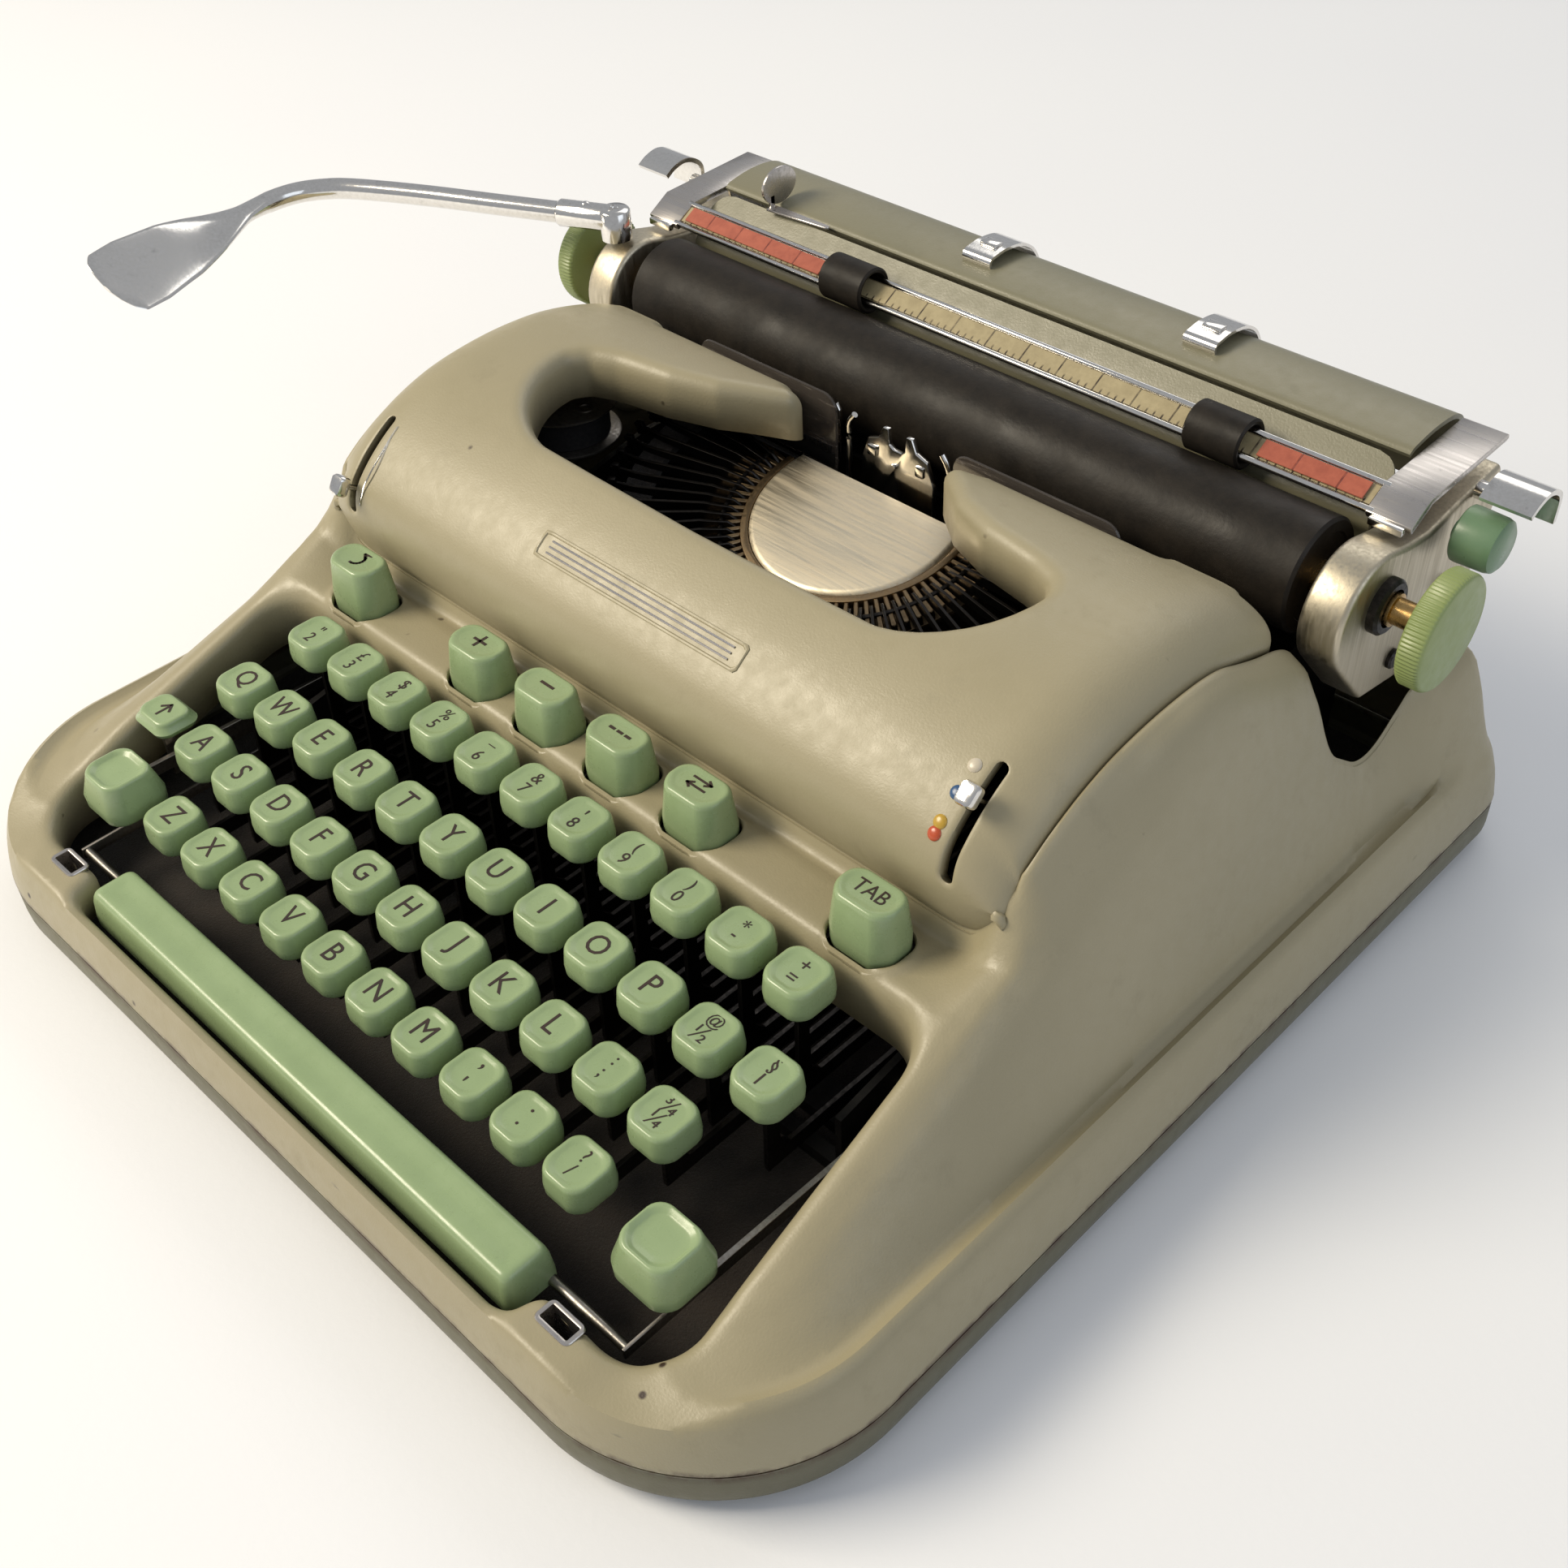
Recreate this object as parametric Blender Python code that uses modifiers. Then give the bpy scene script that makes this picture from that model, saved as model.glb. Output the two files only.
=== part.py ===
"""A portable typewriter of the 1960s: tray, sheet-metal body, lift-off cover, keyboard, type segment and carriage.

The machine stands on its rubber feet at z = 0, faces -Y and is centred between its sides at x = 0, before the
whole assembly is moved by CENTRE_SHIFT so that its outer box is centred on the origin. Lengths are written in
millimetres, and MM turns them into metres where a mesh is made.
"""

import math

import bmesh
import bpy
import numpy as np
from mathutils import Matrix, Vector

MM = 0.001
GAP = 0.3  # left between pieces that touch
CENTRE_SHIFT = (35.8, 14.35, 0.0)  # brings the middle of the outer box to x = y = 0

# Tray and body, in plan and height
HALF_WIDTH = 163.3
FRONT_Y = -175.7
BACK_Y = 147.0
FRONT_RADIUS = 53.0
BACK_RADIUS = 18.0
FOOT_HEIGHT = 4.0
TRAY_TOP = 15.0
WALL = 2.0

# Keyboard
KEY_PITCH = 19.0
FIRST_KEY_X = -95.0
ROW_OFFSETS = (0.0, -9.5, -4.75, 4.75)
ROW_Y = (-79.0, -99.4, -118.5, -136.8)
ROW_TOP = (65.9, 56.2, 47.5, 38.2)
KEY_COLUMNS = 11
CAP_HEIGHT = 9.4
LEVER_SHAFT = (98.0, 24.0)  # y and z of the rear shaft on which every key lever turns
LEVER_Z = 24.0
LEVER_DEEP = 4.6
LEVER_THICK = 1.4

# Control keys in the strip behind the top row: name, x, height of the top
CONTROL_KEYS = (
    ("margin_release_key", -99.2, 78.4),
    ("tab_set_key", -44.7, 76.5),
    ("tab_clear_key", -16.5, 76.5),
    ("paragraph_key", 12.1, 76.5),
    ("ribbon_reverse_key", 41.3, 76.5),
    ("tabulator_key", 98.5, 78.4),
)
CONTROL_Y = -58.6
STRIP_Z = 63.5

# Sockets for the travelling lid's latches, in the front corner pads
LATCH_X = 104.1
LATCH_Y = -163.35

# Cover over the ribbon and the type basket
COVER_HALF = 126.6
COVER_WALL = 2.0
COVER_FOOT_Y = -44.0
COVER_BACK_Y = 57.0
SLOT_PIVOT = (0.0, 60.0)  # y and z of the pivots of the two levers that come out through the cover's slots
SLOT_LEVER_REACH = 61.4

# Carriage
AXIS = (84.5, 100.0)  # y and z of the platen's axis
PLATEN_RADIUS = 16.0
PLATEN_HALF = 121.5
CASTING_X = (127.0, 139.0)
KNOB_X = (151.5, 158.5)
KNOB_RADIUS = 15.75
SHAFT_END = 151.2
BAIL_PIVOT = (128.0, 103.0)  # y and z of the paper bail's pivots
BAIL_CENTRE = (98.6, 118.6)  # y and z of the middle of the scale bar
BAIL_TILT = 30.0
RULER_HALF = 126.0
GUIDE_Y = 60.0  # the plane in front of the platen that holds the type guide and the card holders
LEVER_PIVOT = (-134.0, 76.0)
LEVER_HEIGHT = 122.5
SPOON_TILT = 35.0

PAINT = (0.30, 0.28, 0.20)
TRAY_PAINT = (0.12, 0.115, 0.075)
MINT = (0.40, 0.60, 0.31)
KNOB_GREEN = (0.38, 0.50, 0.16)
BUTTON_GREEN = (0.20, 0.36, 0.20)
CHROME = (0.80, 0.78, 0.74)
STEEL = (0.42, 0.41, 0.38)
DARK_STEEL = (0.05, 0.045, 0.04)
RUBBER = (0.015, 0.014, 0.013)
BRASS = (0.45, 0.33, 0.18)
RED = (0.45, 0.12, 0.07)
SMOKED = (0.06, 0.05, 0.045)

scene_root = None
parts = None
cutters = None


# ---------------------------------------------------------------------------------------- making meshes


def start_scene():
    """Clears the scene, then makes the two collections and the empty that carries the whole machine."""
    global scene_root, parts, cutters
    for obj in list(bpy.data.objects):
        bpy.data.objects.remove(obj, do_unlink=True)
    parts = bpy.data.collections.new("typewriter")
    cutters = bpy.data.collections.new("typewriter_cutters")
    for collection in (parts, cutters):
        bpy.context.scene.collection.children.link(collection)
    cutters.hide_render = True
    scene_root = bpy.data.objects.new("typewriter_root", None)
    scene_root.location = Vector(CENTRE_SHIFT) * MM
    parts.objects.link(scene_root)


def material(name, colour, roughness=0.5, metallic=0.0):
    made = bpy.data.materials.get(name)
    if made is None:
        made = bpy.data.materials.new(name)
        made.use_nodes = True
        shader = made.node_tree.nodes["Principled BSDF"]
        shader.inputs["Base Color"].default_value = (*colour, 1.0)
        shader.inputs["Roughness"].default_value = roughness
        shader.inputs["Metallic"].default_value = metallic
        made.diffuse_color = (*colour, 1.0)
    return made


def from_bmesh(name, bm):
    """A loose object holding this mesh, whose points are in millimetres."""
    bmesh.ops.scale(bm, vec=(MM, MM, MM), verts=bm.verts)
    mesh = bpy.data.meshes.new(name)
    bm.to_mesh(mesh)
    bm.free()
    obj = bpy.data.objects.new(name, mesh)
    cutters.objects.link(obj)
    return obj


def box(name, low, high):
    bm = bmesh.new()
    low, high = Vector(low), Vector(high)
    size = high - low
    place = Matrix.Translation((low + high) / 2) @ Matrix.Diagonal((*size, 1.0))
    bmesh.ops.create_cube(bm, size=1.0, matrix=place)
    return from_bmesh(name, bm)


def rod(name, start, end, radius, sides=16, end_radius=None):
    """A straight round bar between two points; end_radius tapers it."""
    start, end = Vector(start), Vector(end)
    along = end - start
    turn = along.to_track_quat("Z", "Y").to_matrix().to_4x4()
    bm = bmesh.new()
    bmesh.ops.create_cone(
        bm,
        cap_ends=True,
        segments=sides,
        radius1=radius,
        radius2=radius if end_radius is None else end_radius,
        depth=along.length,
        matrix=Matrix.Translation((start + end) / 2) @ turn,
    )
    return from_bmesh(name, bm)


def curve_mesh(name, curve):
    """Turns a curve with caps into a closed mesh object."""
    holder = bpy.data.objects.new(name, curve)
    cutters.objects.link(holder)
    graph = bpy.context.evaluated_depsgraph_get()
    graph.update()
    mesh = bpy.data.meshes.new_from_object(holder.evaluated_get(graph))
    bm = bmesh.new()
    bm.from_mesh(mesh)
    bmesh.ops.remove_doubles(bm, verts=bm.verts, dist=0.00001)
    bmesh.ops.recalc_face_normals(bm, faces=bm.faces)
    bm.to_mesh(mesh)
    bm.free()
    obj = bpy.data.objects.new(name, mesh)
    obj.matrix_world = holder.matrix_world
    cutters.objects.link(obj)
    bpy.data.objects.remove(holder, do_unlink=True)
    bpy.data.curves.remove(curve)
    return obj


def tube(name, points, radius, sides=8):
    curve = bpy.data.curves.new(name, "CURVE")
    curve.dimensions = "3D"
    curve.bevel_depth = radius * MM
    curve.bevel_resolution = sides // 4
    curve.use_fill_caps = True
    spline = curve.splines.new("POLY")
    spline.points.add(len(points) - 1)
    for slot, point in zip(spline.points, points):
        slot.co = (*(Vector(point) * MM), 1.0)
    return curve_mesh(name, curve)


def plate(name, outlines, low, high, axis="Z"):
    """A flat outline with a thickness from low to high along an axis. Later outlines are holes."""
    curve = bpy.data.curves.new(name, "CURVE")
    curve.dimensions = "2D"
    curve.fill_mode = "BOTH"
    curve.extrude = (high - low) / 2 * MM
    for outline in outlines:
        spline = curve.splines.new("POLY")
        spline.points.add(len(outline) - 1)
        for slot, point in zip(spline.points, outline):
            slot.co = (point[0] * MM, point[1] * MM, 0.0, 1.0)
        spline.use_cyclic_u = True
    obj = curve_mesh(name, curve)
    if axis == "X":  # the outline is given as (y, z)
        frame = Matrix(((0, 0, 1, 0), (1, 0, 0, 0), (0, 1, 0, 0), (0, 0, 0, 1)))
    elif axis == "Y":  # the outline is given as (x, z)
        frame = Matrix(((1, 0, 0, 0), (0, 0, -1, 0), (0, 1, 0, 0), (0, 0, 0, 1)))
    else:
        frame = Matrix.Identity(4)
    lift = Matrix.Translation(Vector((0, 0, (low + high) / 2 * MM * (-1 if axis == "Y" else 1))))
    obj.data.transform(frame @ lift)
    return obj


def turned(name, profile, axis_point, axis="X", steps=32):
    """A profile of (radius, distance along the axis) turned round an axis through axis_point."""
    bm = bmesh.new()
    points = [bm.verts.new((radius, 0.0, along)) for radius, along in profile]
    for first, second in zip(points, points[1:]):
        bm.edges.new((first, second))
    obj = from_bmesh(name, bm)
    screw = obj.modifiers.new("turn", "SCREW")
    screw.steps = screw.render_steps = steps
    screw.use_merge_vertices = True
    screw.merge_threshold = 0.00002
    bake(obj)
    turn = {"X": Matrix.Rotation(math.pi / 2, 4, "Y"), "Y": Matrix.Rotation(-math.pi / 2, 4, "X")}.get(
        axis, Matrix.Identity(4)
    )
    obj.data.transform(Matrix.Translation(Vector(axis_point) * MM) @ turn)
    face_out(obj)
    return obj


def loft(name, rings):
    """Joins rings of equal point counts, and closes both ends."""
    bm = bmesh.new()
    loops = [[bm.verts.new(point) for point in ring] for ring in rings]
    count = len(rings[0])
    for lower, upper in zip(loops, loops[1:]):
        for i in range(count):
            j = (i + 1) % count
            bm.faces.new((lower[i], lower[j], upper[j], upper[i]))
    bm.faces.new(loops[0][::-1])
    bm.faces.new(loops[-1])
    bmesh.ops.recalc_face_normals(bm, faces=bm.faces)
    return from_bmesh(name, bm)


def double_skin(name, outer, inner):
    """A closed shell between two grids of points, with a rim round its edge."""
    bm = bmesh.new()
    tops = [[bm.verts.new(point) for point in row] for row in outer]
    lows = [[bm.verts.new(point) for point in row] for row in inner]
    rows, columns = len(tops), len(tops[0])
    for j in range(rows - 1):
        for i in range(columns - 1):
            bm.faces.new((tops[j][i], tops[j][i + 1], tops[j + 1][i + 1], tops[j + 1][i]))
            bm.faces.new((lows[j][i], lows[j + 1][i], lows[j + 1][i + 1], lows[j][i + 1]))
    border = [(0, i) for i in range(columns)] + [(j, columns - 1) for j in range(1, rows)]
    border += [(rows - 1, i) for i in range(columns - 2, -1, -1)] + [(j, 0) for j in range(rows - 2, 0, -1)]
    for (j, i), (l, k) in zip(border, border[1:] + border[:1]):
        bm.faces.new((tops[j][i], lows[j][i], lows[l][k], tops[l][k]))
    bmesh.ops.recalc_face_normals(bm, faces=bm.faces)
    return from_bmesh(name, bm)


def face_out(obj):
    """Closes the seam of a turned piece and turns its faces outwards."""
    bm = bmesh.new()
    bm.from_mesh(obj.data)
    bmesh.ops.remove_doubles(bm, verts=bm.verts, dist=0.00001)
    bmesh.ops.recalc_face_normals(bm, faces=bm.faces)
    bm.to_mesh(obj.data)
    bm.free()


def bake(obj):
    """Replaces an object's mesh by what its modifiers make of it."""
    graph = bpy.context.evaluated_depsgraph_get()
    graph.update()
    mesh = bpy.data.meshes.new_from_object(obj.evaluated_get(graph))
    obj.modifiers.clear()
    obj.data = mesh


def fuse(base, others):
    """Unites pieces into one solid."""
    for other in others:
        union = base.modifiers.new("join", "BOOLEAN")
        union.operation = "UNION"
        union.object = other
    bake(base)
    for other in others:
        bpy.data.objects.remove(other, do_unlink=True)
    return base


def cut(base, others):
    """Cuts pieces out of a solid."""
    for other in others:
        difference = base.modifiers.new("cut", "BOOLEAN")
        difference.operation = "DIFFERENCE"
        difference.object = other
    bake(base)
    for other in others:
        bpy.data.objects.remove(other, do_unlink=True)
    return base


def bevel(obj, width, segments=2, angle=35.0):
    rounding = obj.modifiers.new("rounding", "BEVEL")
    rounding.width = width * MM
    rounding.segments = segments
    rounding.limit_method = "ANGLE"
    rounding.angle_limit = math.radians(angle)
    bake(obj)
    return obj


def finish(obj, name, finish_material, origin=(0.0, 0.0, 0.0), smooth=True):
    """Names a finished part, gives it its material and puts its origin on its joint's axis."""
    obj.name = obj.data.name = name
    obj.data.materials.clear()
    obj.data.materials.append(finish_material)
    if smooth:
        obj.data.shade_smooth()
        obj.data.set_sharp_from_angle(angle=math.radians(35.0))
    origin = Vector(origin) * MM
    obj.data.transform(Matrix.Translation(-origin))
    obj.location = origin
    cutters.objects.unlink(obj)
    parts.objects.link(obj)
    obj.parent = scene_root
    return obj


# ---------------------------------------------------------------------------------------- outlines


def smoothstep(low, high, value):
    t = np.clip((value - low) / (high - low), 0.0, 1.0)
    return t * t * (3.0 - 2.0 * t)


def arc(centre, radius, start, end, steps):
    """Points on an arc, with its angles in degrees."""
    angles = np.radians(np.linspace(start, end, steps + 1))
    return [(centre[0] + radius * math.cos(a), centre[1] + radius * math.sin(a)) for a in angles]


def plan_outline(inset=0.0, steps=8):
    """The rounded rectangle that the tray and the body share."""
    right, front, back = HALF_WIDTH - inset, FRONT_Y + inset, BACK_Y - inset
    front_r, back_r = FRONT_RADIUS - inset, max(BACK_RADIUS - inset, 2.0)
    return (
        arc((right - front_r, front + front_r), front_r, -90, 0, steps)
        + arc((right - back_r, back - back_r), back_r, 0, 90, steps // 2)
        + arc((back_r - right, back - back_r), back_r, 90, 180, steps // 2)
        + arc((front_r - right, front + front_r), front_r, 180, 270, steps)
    )


def rounded_rectangle(centre, half_x, half_y, radius, steps=3):
    x, y = centre
    return (
        arc((x + half_x - radius, y + half_y - radius), radius, 0, 90, steps)
        + arc((x - half_x + radius, y + half_y - radius), radius, 90, 180, steps)
        + arc((x - half_x + radius, y - half_y + radius), radius, 180, 270, steps)
        + arc((x + half_x - radius, y - half_y + radius), radius, 270, 360, steps)
    )


def mirrored(half):
    """Closes an outline whose right half runs from the middle of the front to the middle of the back."""
    return half + [(-x, y) for x, y in reversed(half) if abs(x) > 0.01]


def well_outline():
    """The keyboard opening, with the space bar's slot reaching forward between the two corner pads."""
    right = [(0.0, -169.5), (88.0, -169.5)] + arc((91.0, -166.5), 2.0, -70, 0, 2)
    right += [(94.0, -163.0)] + arc((97.5, -162.5), 2.5, 150, 90, 2)
    right += arc((113.0, -144.0), 16.5, -85, -5, 5) + arc((114.0, -81.6), 13.0, 0, 90, 5)
    return mirrored(right + [(0.0, -68.6)])


def cover_opening_outline():
    """The gap over the type basket: a long bean whose rear edge is two wings that leave a mouth at the middle."""
    right = [(0.0, -16.5), (40.0, -16.0)] + arc((56.0, 15.0), 31.0, -80, 0, 5)
    right += [(84.0, 20.0), (76.0, 23.5), (58.0, 27.0), (44.0, 33.0), (32.0, 43.5)]
    right += arc((33.5, 49.0), 5.5, 200, 140, 3) + [(36.0, 57.0), (36.0, 64.0)]
    return mirrored(right + [(0.0, 64.0)])


def top_outline():
    """The opening in the body under the cover, and the wider one behind it in which the carriage runs."""
    edge = COVER_HALF + 0.5
    right = [(0.0, COVER_FOOT_Y - 1.0), (edge - 8.0, COVER_FOOT_Y - 1.0)]
    right += arc((edge - 6.0, COVER_FOOT_Y + 5.0), 6.0, -60, 0, 2) + [(edge, 63.3)]
    right += arc((137.3, 68.5), 5.2, -90, 0, 2) + arc((137.3, 127.3), 5.2, 0, 90, 2)
    return mirrored(right + [(0.0, 132.5)])


# ---------------------------------------------------------------------------------------- tray and body


def edge_distance(x, y):
    """How far inside the plan outline a point lies."""
    radius = np.where(y < 0.0, FRONT_RADIUS, BACK_RADIUS)
    to_side = HALF_WIDTH - radius - np.abs(x)
    to_end = np.where(y < 0.0, y - FRONT_Y - radius, BACK_Y - radius - y)
    corner = np.hypot(np.minimum(to_side, 0.0), np.minimum(to_end, 0.0))
    return radius + np.minimum(np.maximum(-to_side, -to_end), 0.0) * -1.0 - corner


def side_crest(y):
    """The height of the body's sides along the machine: keyboard arms, shoulder by the cover, low rear rim."""
    stations = (-176, -163, -120, -76, -50, -25, 0, 14, 30, 47, 56, 61.5, 66, 81, 90, 120, 140, 147)
    heights = (26, 28.5, 44, 60, 73, 92, 106, 108.5, 106, 99.5, 97, 95, 88, 66.5, 64, 64, 65, 64)
    return np.interp(y, stations, heights)


def body_height(x, y):
    """The outer surface of the sheet-metal body above each point of its plan."""
    inside = edge_distance(x, y)
    arms = 28.5 + np.maximum(y + 157.5, 0.0) * 0.3865
    flat = np.where(y < -68.0, arms, STRIP_Z)
    flat = np.where(y > COVER_FOOT_Y, side_crest(y), flat)
    centre = flat + (side_crest(y) - flat) * smoothstep(118.0, 138.0, np.abs(x))
    centre = np.maximum(centre, 22.0)
    band = TRAY_TOP + GAP + 12.0 * np.clip(inside / 1.6, 0.0, 1.0) ** 0.5
    ledge = band + 3.0 * smoothstep(1.5, 6.0, inside)
    reach = 34.0 - 18.0 * smoothstep(84.0, 112.0, y)
    rise = np.clip((inside - 4.0) / reach, 0.0, 1.0)
    return np.minimum(ledge, centre) + np.maximum(centre - ledge, 0.0) * np.sqrt(1.0 - (1.0 - rise) ** 2)


def body_shell():
    """A height surface over the plan outline, thickened inwards, then opened for keyboard, cover and carriage."""
    near = (0.0, 0.8, 2.5, 6.0, 10.0, 16.0, 24.0, 38.0)
    columns = [1.0 - d / HALF_WIDTH for d in near] + [0.6, 0.35, 0.0]
    columns = sorted({-c for c in columns} | set(columns))
    rows = [FRONT_Y + d for d in (0.0, 0.8, 2.5, 6.0, 11.0, 18.2, 30.0, 53.0)]
    rows += [-100.0, -76.0, -60.0, -45.0, -30.0, -15.0, 0.0, 14.0, 30.0, 47.0, 61.5, 66.0, 73.0, 81.0, 90.0, 105.0]
    rows += [BACK_Y - d for d in (26.0, 18.0, 12.0, 8.0, 4.0, 2.5, 0.8, 0.0)]
    outer, inner = [], []
    for y in rows:
        radius = FRONT_RADIUS if y < 0.0 else BACK_RADIUS
        past = max(FRONT_Y + radius - y if y < 0.0 else y - BACK_Y + radius, 0.0)
        half = HALF_WIDTH - radius + math.sqrt(max(radius**2 - past**2, 0.0))
        xs = np.array([column * half for column in columns])
        heights = body_height(xs, np.full(len(xs), y))
        outer.append([Vector((x, y, z)) for x, z in zip(xs, heights)])
    middle = (FRONT_Y + BACK_Y) / 2
    shrink = Vector((1.0 - WALL / HALF_WIDTH, 1.0 - WALL / (BACK_Y - middle), 1.0))
    for row in outer:
        below = []
        for point in row:
            z = max(point.z - WALL, TRAY_TOP + GAP)
            below.append(Vector((point.x * shrink.x, middle + (point.y - middle) * shrink.y, z)))
        inner.append(below)
    obj = double_skin("body", outer, inner)
    well = plate("well", [well_outline()], 0.0, 90.0)
    holes = [well, plate("top_hole", [top_outline()], 36.0, 140.0)]
    for _, x, _ in CONTROL_KEYS:
        holes.append(plate("key_hole", [rounded_rectangle((x, CONTROL_Y), 10.4, 7.0, 4.6)], 50.0, 75.0))
    for side in (-1, 1):
        x, y = side * LATCH_X, LATCH_Y
        holes.append(box("latch_hole", (x - 5.05, y - 2.7, 10.0), (x + 5.05, y + 2.7, 40.0)))
    cut(obj, holes)
    return finish(obj, "body_shell", material("body_paint", PAINT, 0.55))


def base_tray():
    """A shallow pan with a flat floor on which the machine's frame is screwed."""
    pan = plate("pan", [plan_outline(0.0)], FOOT_HEIGHT, TRAY_TOP)
    hollow = plate("hollow", [plan_outline(WALL)], FOOT_HEIGHT + WALL, TRAY_TOP + 5.0)
    cut(pan, [hollow])
    return finish(pan, "base_tray", material("tray_paint", TRAY_PAINT, 0.6))


def rubber_feet():
    profile = [(0.0, FOOT_HEIGHT - GAP), (9.0, FOOT_HEIGHT - GAP), (10.0, 1.0), (9.0, 0.0), (0.0, 0.0)]
    places = ((-118, -132), (118, -132), (-128, 112), (128, 112))
    for number, (x, y) in enumerate(places, 1):
        foot = turned("foot", profile, (x, y, 0.0), "Z", 16)
        finish(foot, f"rubber_foot_{number}", material("foot_rubber", RUBBER, 0.8), (x, y, 0.0))


def cover_profile():
    """Side view of the cover's outer face, as (y, z) from its foot behind the control keys to its rear edge."""
    return (
        (-44.0, 66.0), (-47.5, 70.0), (-49.6, 77.0), (-50.0, 84.0), (-48.6, 91.0), (-44.5, 96.5), (-37.5, 102.5),
        (-30.0, 108.0), (-20.0, 112.5), (-8.0, 115.5), (8.0, 117.0), (24.0, 116.8), (36.0, 115.0), (48.0, 111.5),
        (COVER_BACK_Y, 107.5),
    )


def cover_point(x, station):
    """A point of the cover's outer face: the side view, rounded off towards the two side seams."""
    y, z = station
    side = max(abs(x) - 108.0, 0.0) / (COVER_HALF - 108.0)
    drop = 9.5 * side**2.6
    front = 1.0 if y < -20.0 else 0.0
    lift = 9.0 * side**4 * max(0.0, (84.0 - z) / 18.0) if front else 0.0
    back = 3.5 * side**3 * (1.0 if y < -40.0 else 0.0)
    pull = -9.0 * side**2 if y > 40.0 else 0.0
    return (x, y + back + pull * (y - 40.0) / 17.0, z - drop * (1.0 if z > 84.0 else 0.0) + lift)


def top_cover():
    """The lift-off cover: its side view swept across the machine, thickened, and opened over the type basket."""
    half = (0.0, 30.0, 60.0, 90.0, 108.0, 114.0, 119.0, 123.0, COVER_HALF)
    stations = sorted({-x for x in half} | set(half))
    bm = bmesh.new()
    grid = [[bm.verts.new(cover_point(x, s)) for x in stations] for s in cover_profile()]
    for lower, upper in zip(grid, grid[1:]):
        for i in range(len(stations) - 1):
            bm.faces.new((lower[i], lower[i + 1], upper[i + 1], upper[i]))
    cover = from_bmesh("cover", bm)
    shell = cover.modifiers.new("wall", "SOLIDIFY")
    shell.thickness = COVER_WALL * MM
    shell.offset = -1.0
    bake(cover)
    holes = [plate("opening", [cover_opening_outline()], 80.0, 140.0)]
    for side in (-1, 1):
        holes.append(box("slot", (side * 112.6 - 1.6, -53.0, 86.5), (side * 112.6 + 1.6, -30.5, 112.0)))
    cut(cover, holes)
    return finish(cover, "top_cover", material("body_paint", PAINT, 0.55))


def latch_sockets():
    for name, side in (("latch_socket_left", -1), ("latch_socket_right", 1)):
        place = (side * LATCH_X, LATCH_Y)
        ring = plate("ring", [rounded_rectangle(place, 5.7, 3.2, 1.6)], 28.9, 29.8)
        bush = plate("bush", [rounded_rectangle(place, 4.75, 2.4, 0.6)], 20.0, 29.3)
        hole = plate("hole", [rounded_rectangle(place, 4.4, 1.92, 0.3)], 10.0, 40.0)
        fuse(ring, [bush])
        cut(ring, [hole])
        finish(ring, name, material("bright_chrome", CHROME, 0.15, 1.0), (*place, 28.9))


# ---------------------------------------------------------------------------------------- frame inside


def main_frame():
    """Two side plates joined by cross bars, with the shaft bearings and the carriage rail's seats."""
    side = [
        (-84.0, 7.0), (110.0, 7.0), (128.0, 18.0), (128.0, 62.0), (60.0, 62.0), (30.0, 56.0), (-30.0, 40.0),
        (-84.0, 30.0),
    ]
    plates = [plate("side", [side], x, x + 2.0, "X") for x in (-112.0, 110.0)]
    bars = [
        box("front_bar", (-111.0, -84.0, 7.0), (111.0, -80.0, 11.0)),
        box("rear_bar", (-111.0, 120.0, 18.0), (111.0, 124.0, 40.0)),
        box("rail_seat", (-111.0, 108.0, 52.0), (111.0, 127.0, 56.0)),
    ]
    for x in (-100.0, 100.0):
        for y in (-70.0, 116.0):
            bars.append(box("post", (x - 12.5, y - 5.0, FOOT_HEIGHT + WALL + GAP), (x + 12.5, y + 5.0, 11.0)))
    frame = fuse(plates[0], plates[1:] + bars)
    bore = rod("bore", (-120.0, *LEVER_SHAFT), (120.0, *LEVER_SHAFT), 3.0 + GAP, 12)
    cut(frame, [bore])
    return finish(frame, "main_frame", material("frame_steel", DARK_STEEL, 0.5, 0.6), smooth=False)


def key_lever_shaft():
    shaft = rod("shaft", (-127.0, *LEVER_SHAFT), (127.0, *LEVER_SHAFT), 3.0, 12)
    return finish(shaft, "key_lever_shaft", material("steel", STEEL, 0.35, 1.0), (0.0, *LEVER_SHAFT))


# ---------------------------------------------------------------------------------------- keyboard


def cap(x, y, top, half_x=7.1, half_y=7.0, height=CAP_HEIGHT, radius=3.7, taper=0.3):
    """A key top: a rounded block that narrows upwards and has a softened upper edge."""
    sizes = ((0.0, top - height), (0.0, top - height + 0.6), (taper * 0.75, top - 1.2), (taper + 0.7, top))
    rings = []
    for inset, z in sizes:
        ring = rounded_rectangle((x, y), half_x - inset, half_y - inset, max(radius - inset * 0.3, 1.0), 2)
        rings.append([(px, py, z) for px, py in ring])
    return loft("cap", rings)


def sleeve(low_x, high_x):
    """The tube by which levers turn on the rear shaft."""
    outer = rod("sleeve", (low_x, *LEVER_SHAFT), (high_x, *LEVER_SHAFT), 5.0, 12)
    bore = rod("bore", (low_x - 1.0, *LEVER_SHAFT), (high_x + 1.0, *LEVER_SHAFT), 3.0 + GAP, 12)
    return outer, bore


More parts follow.
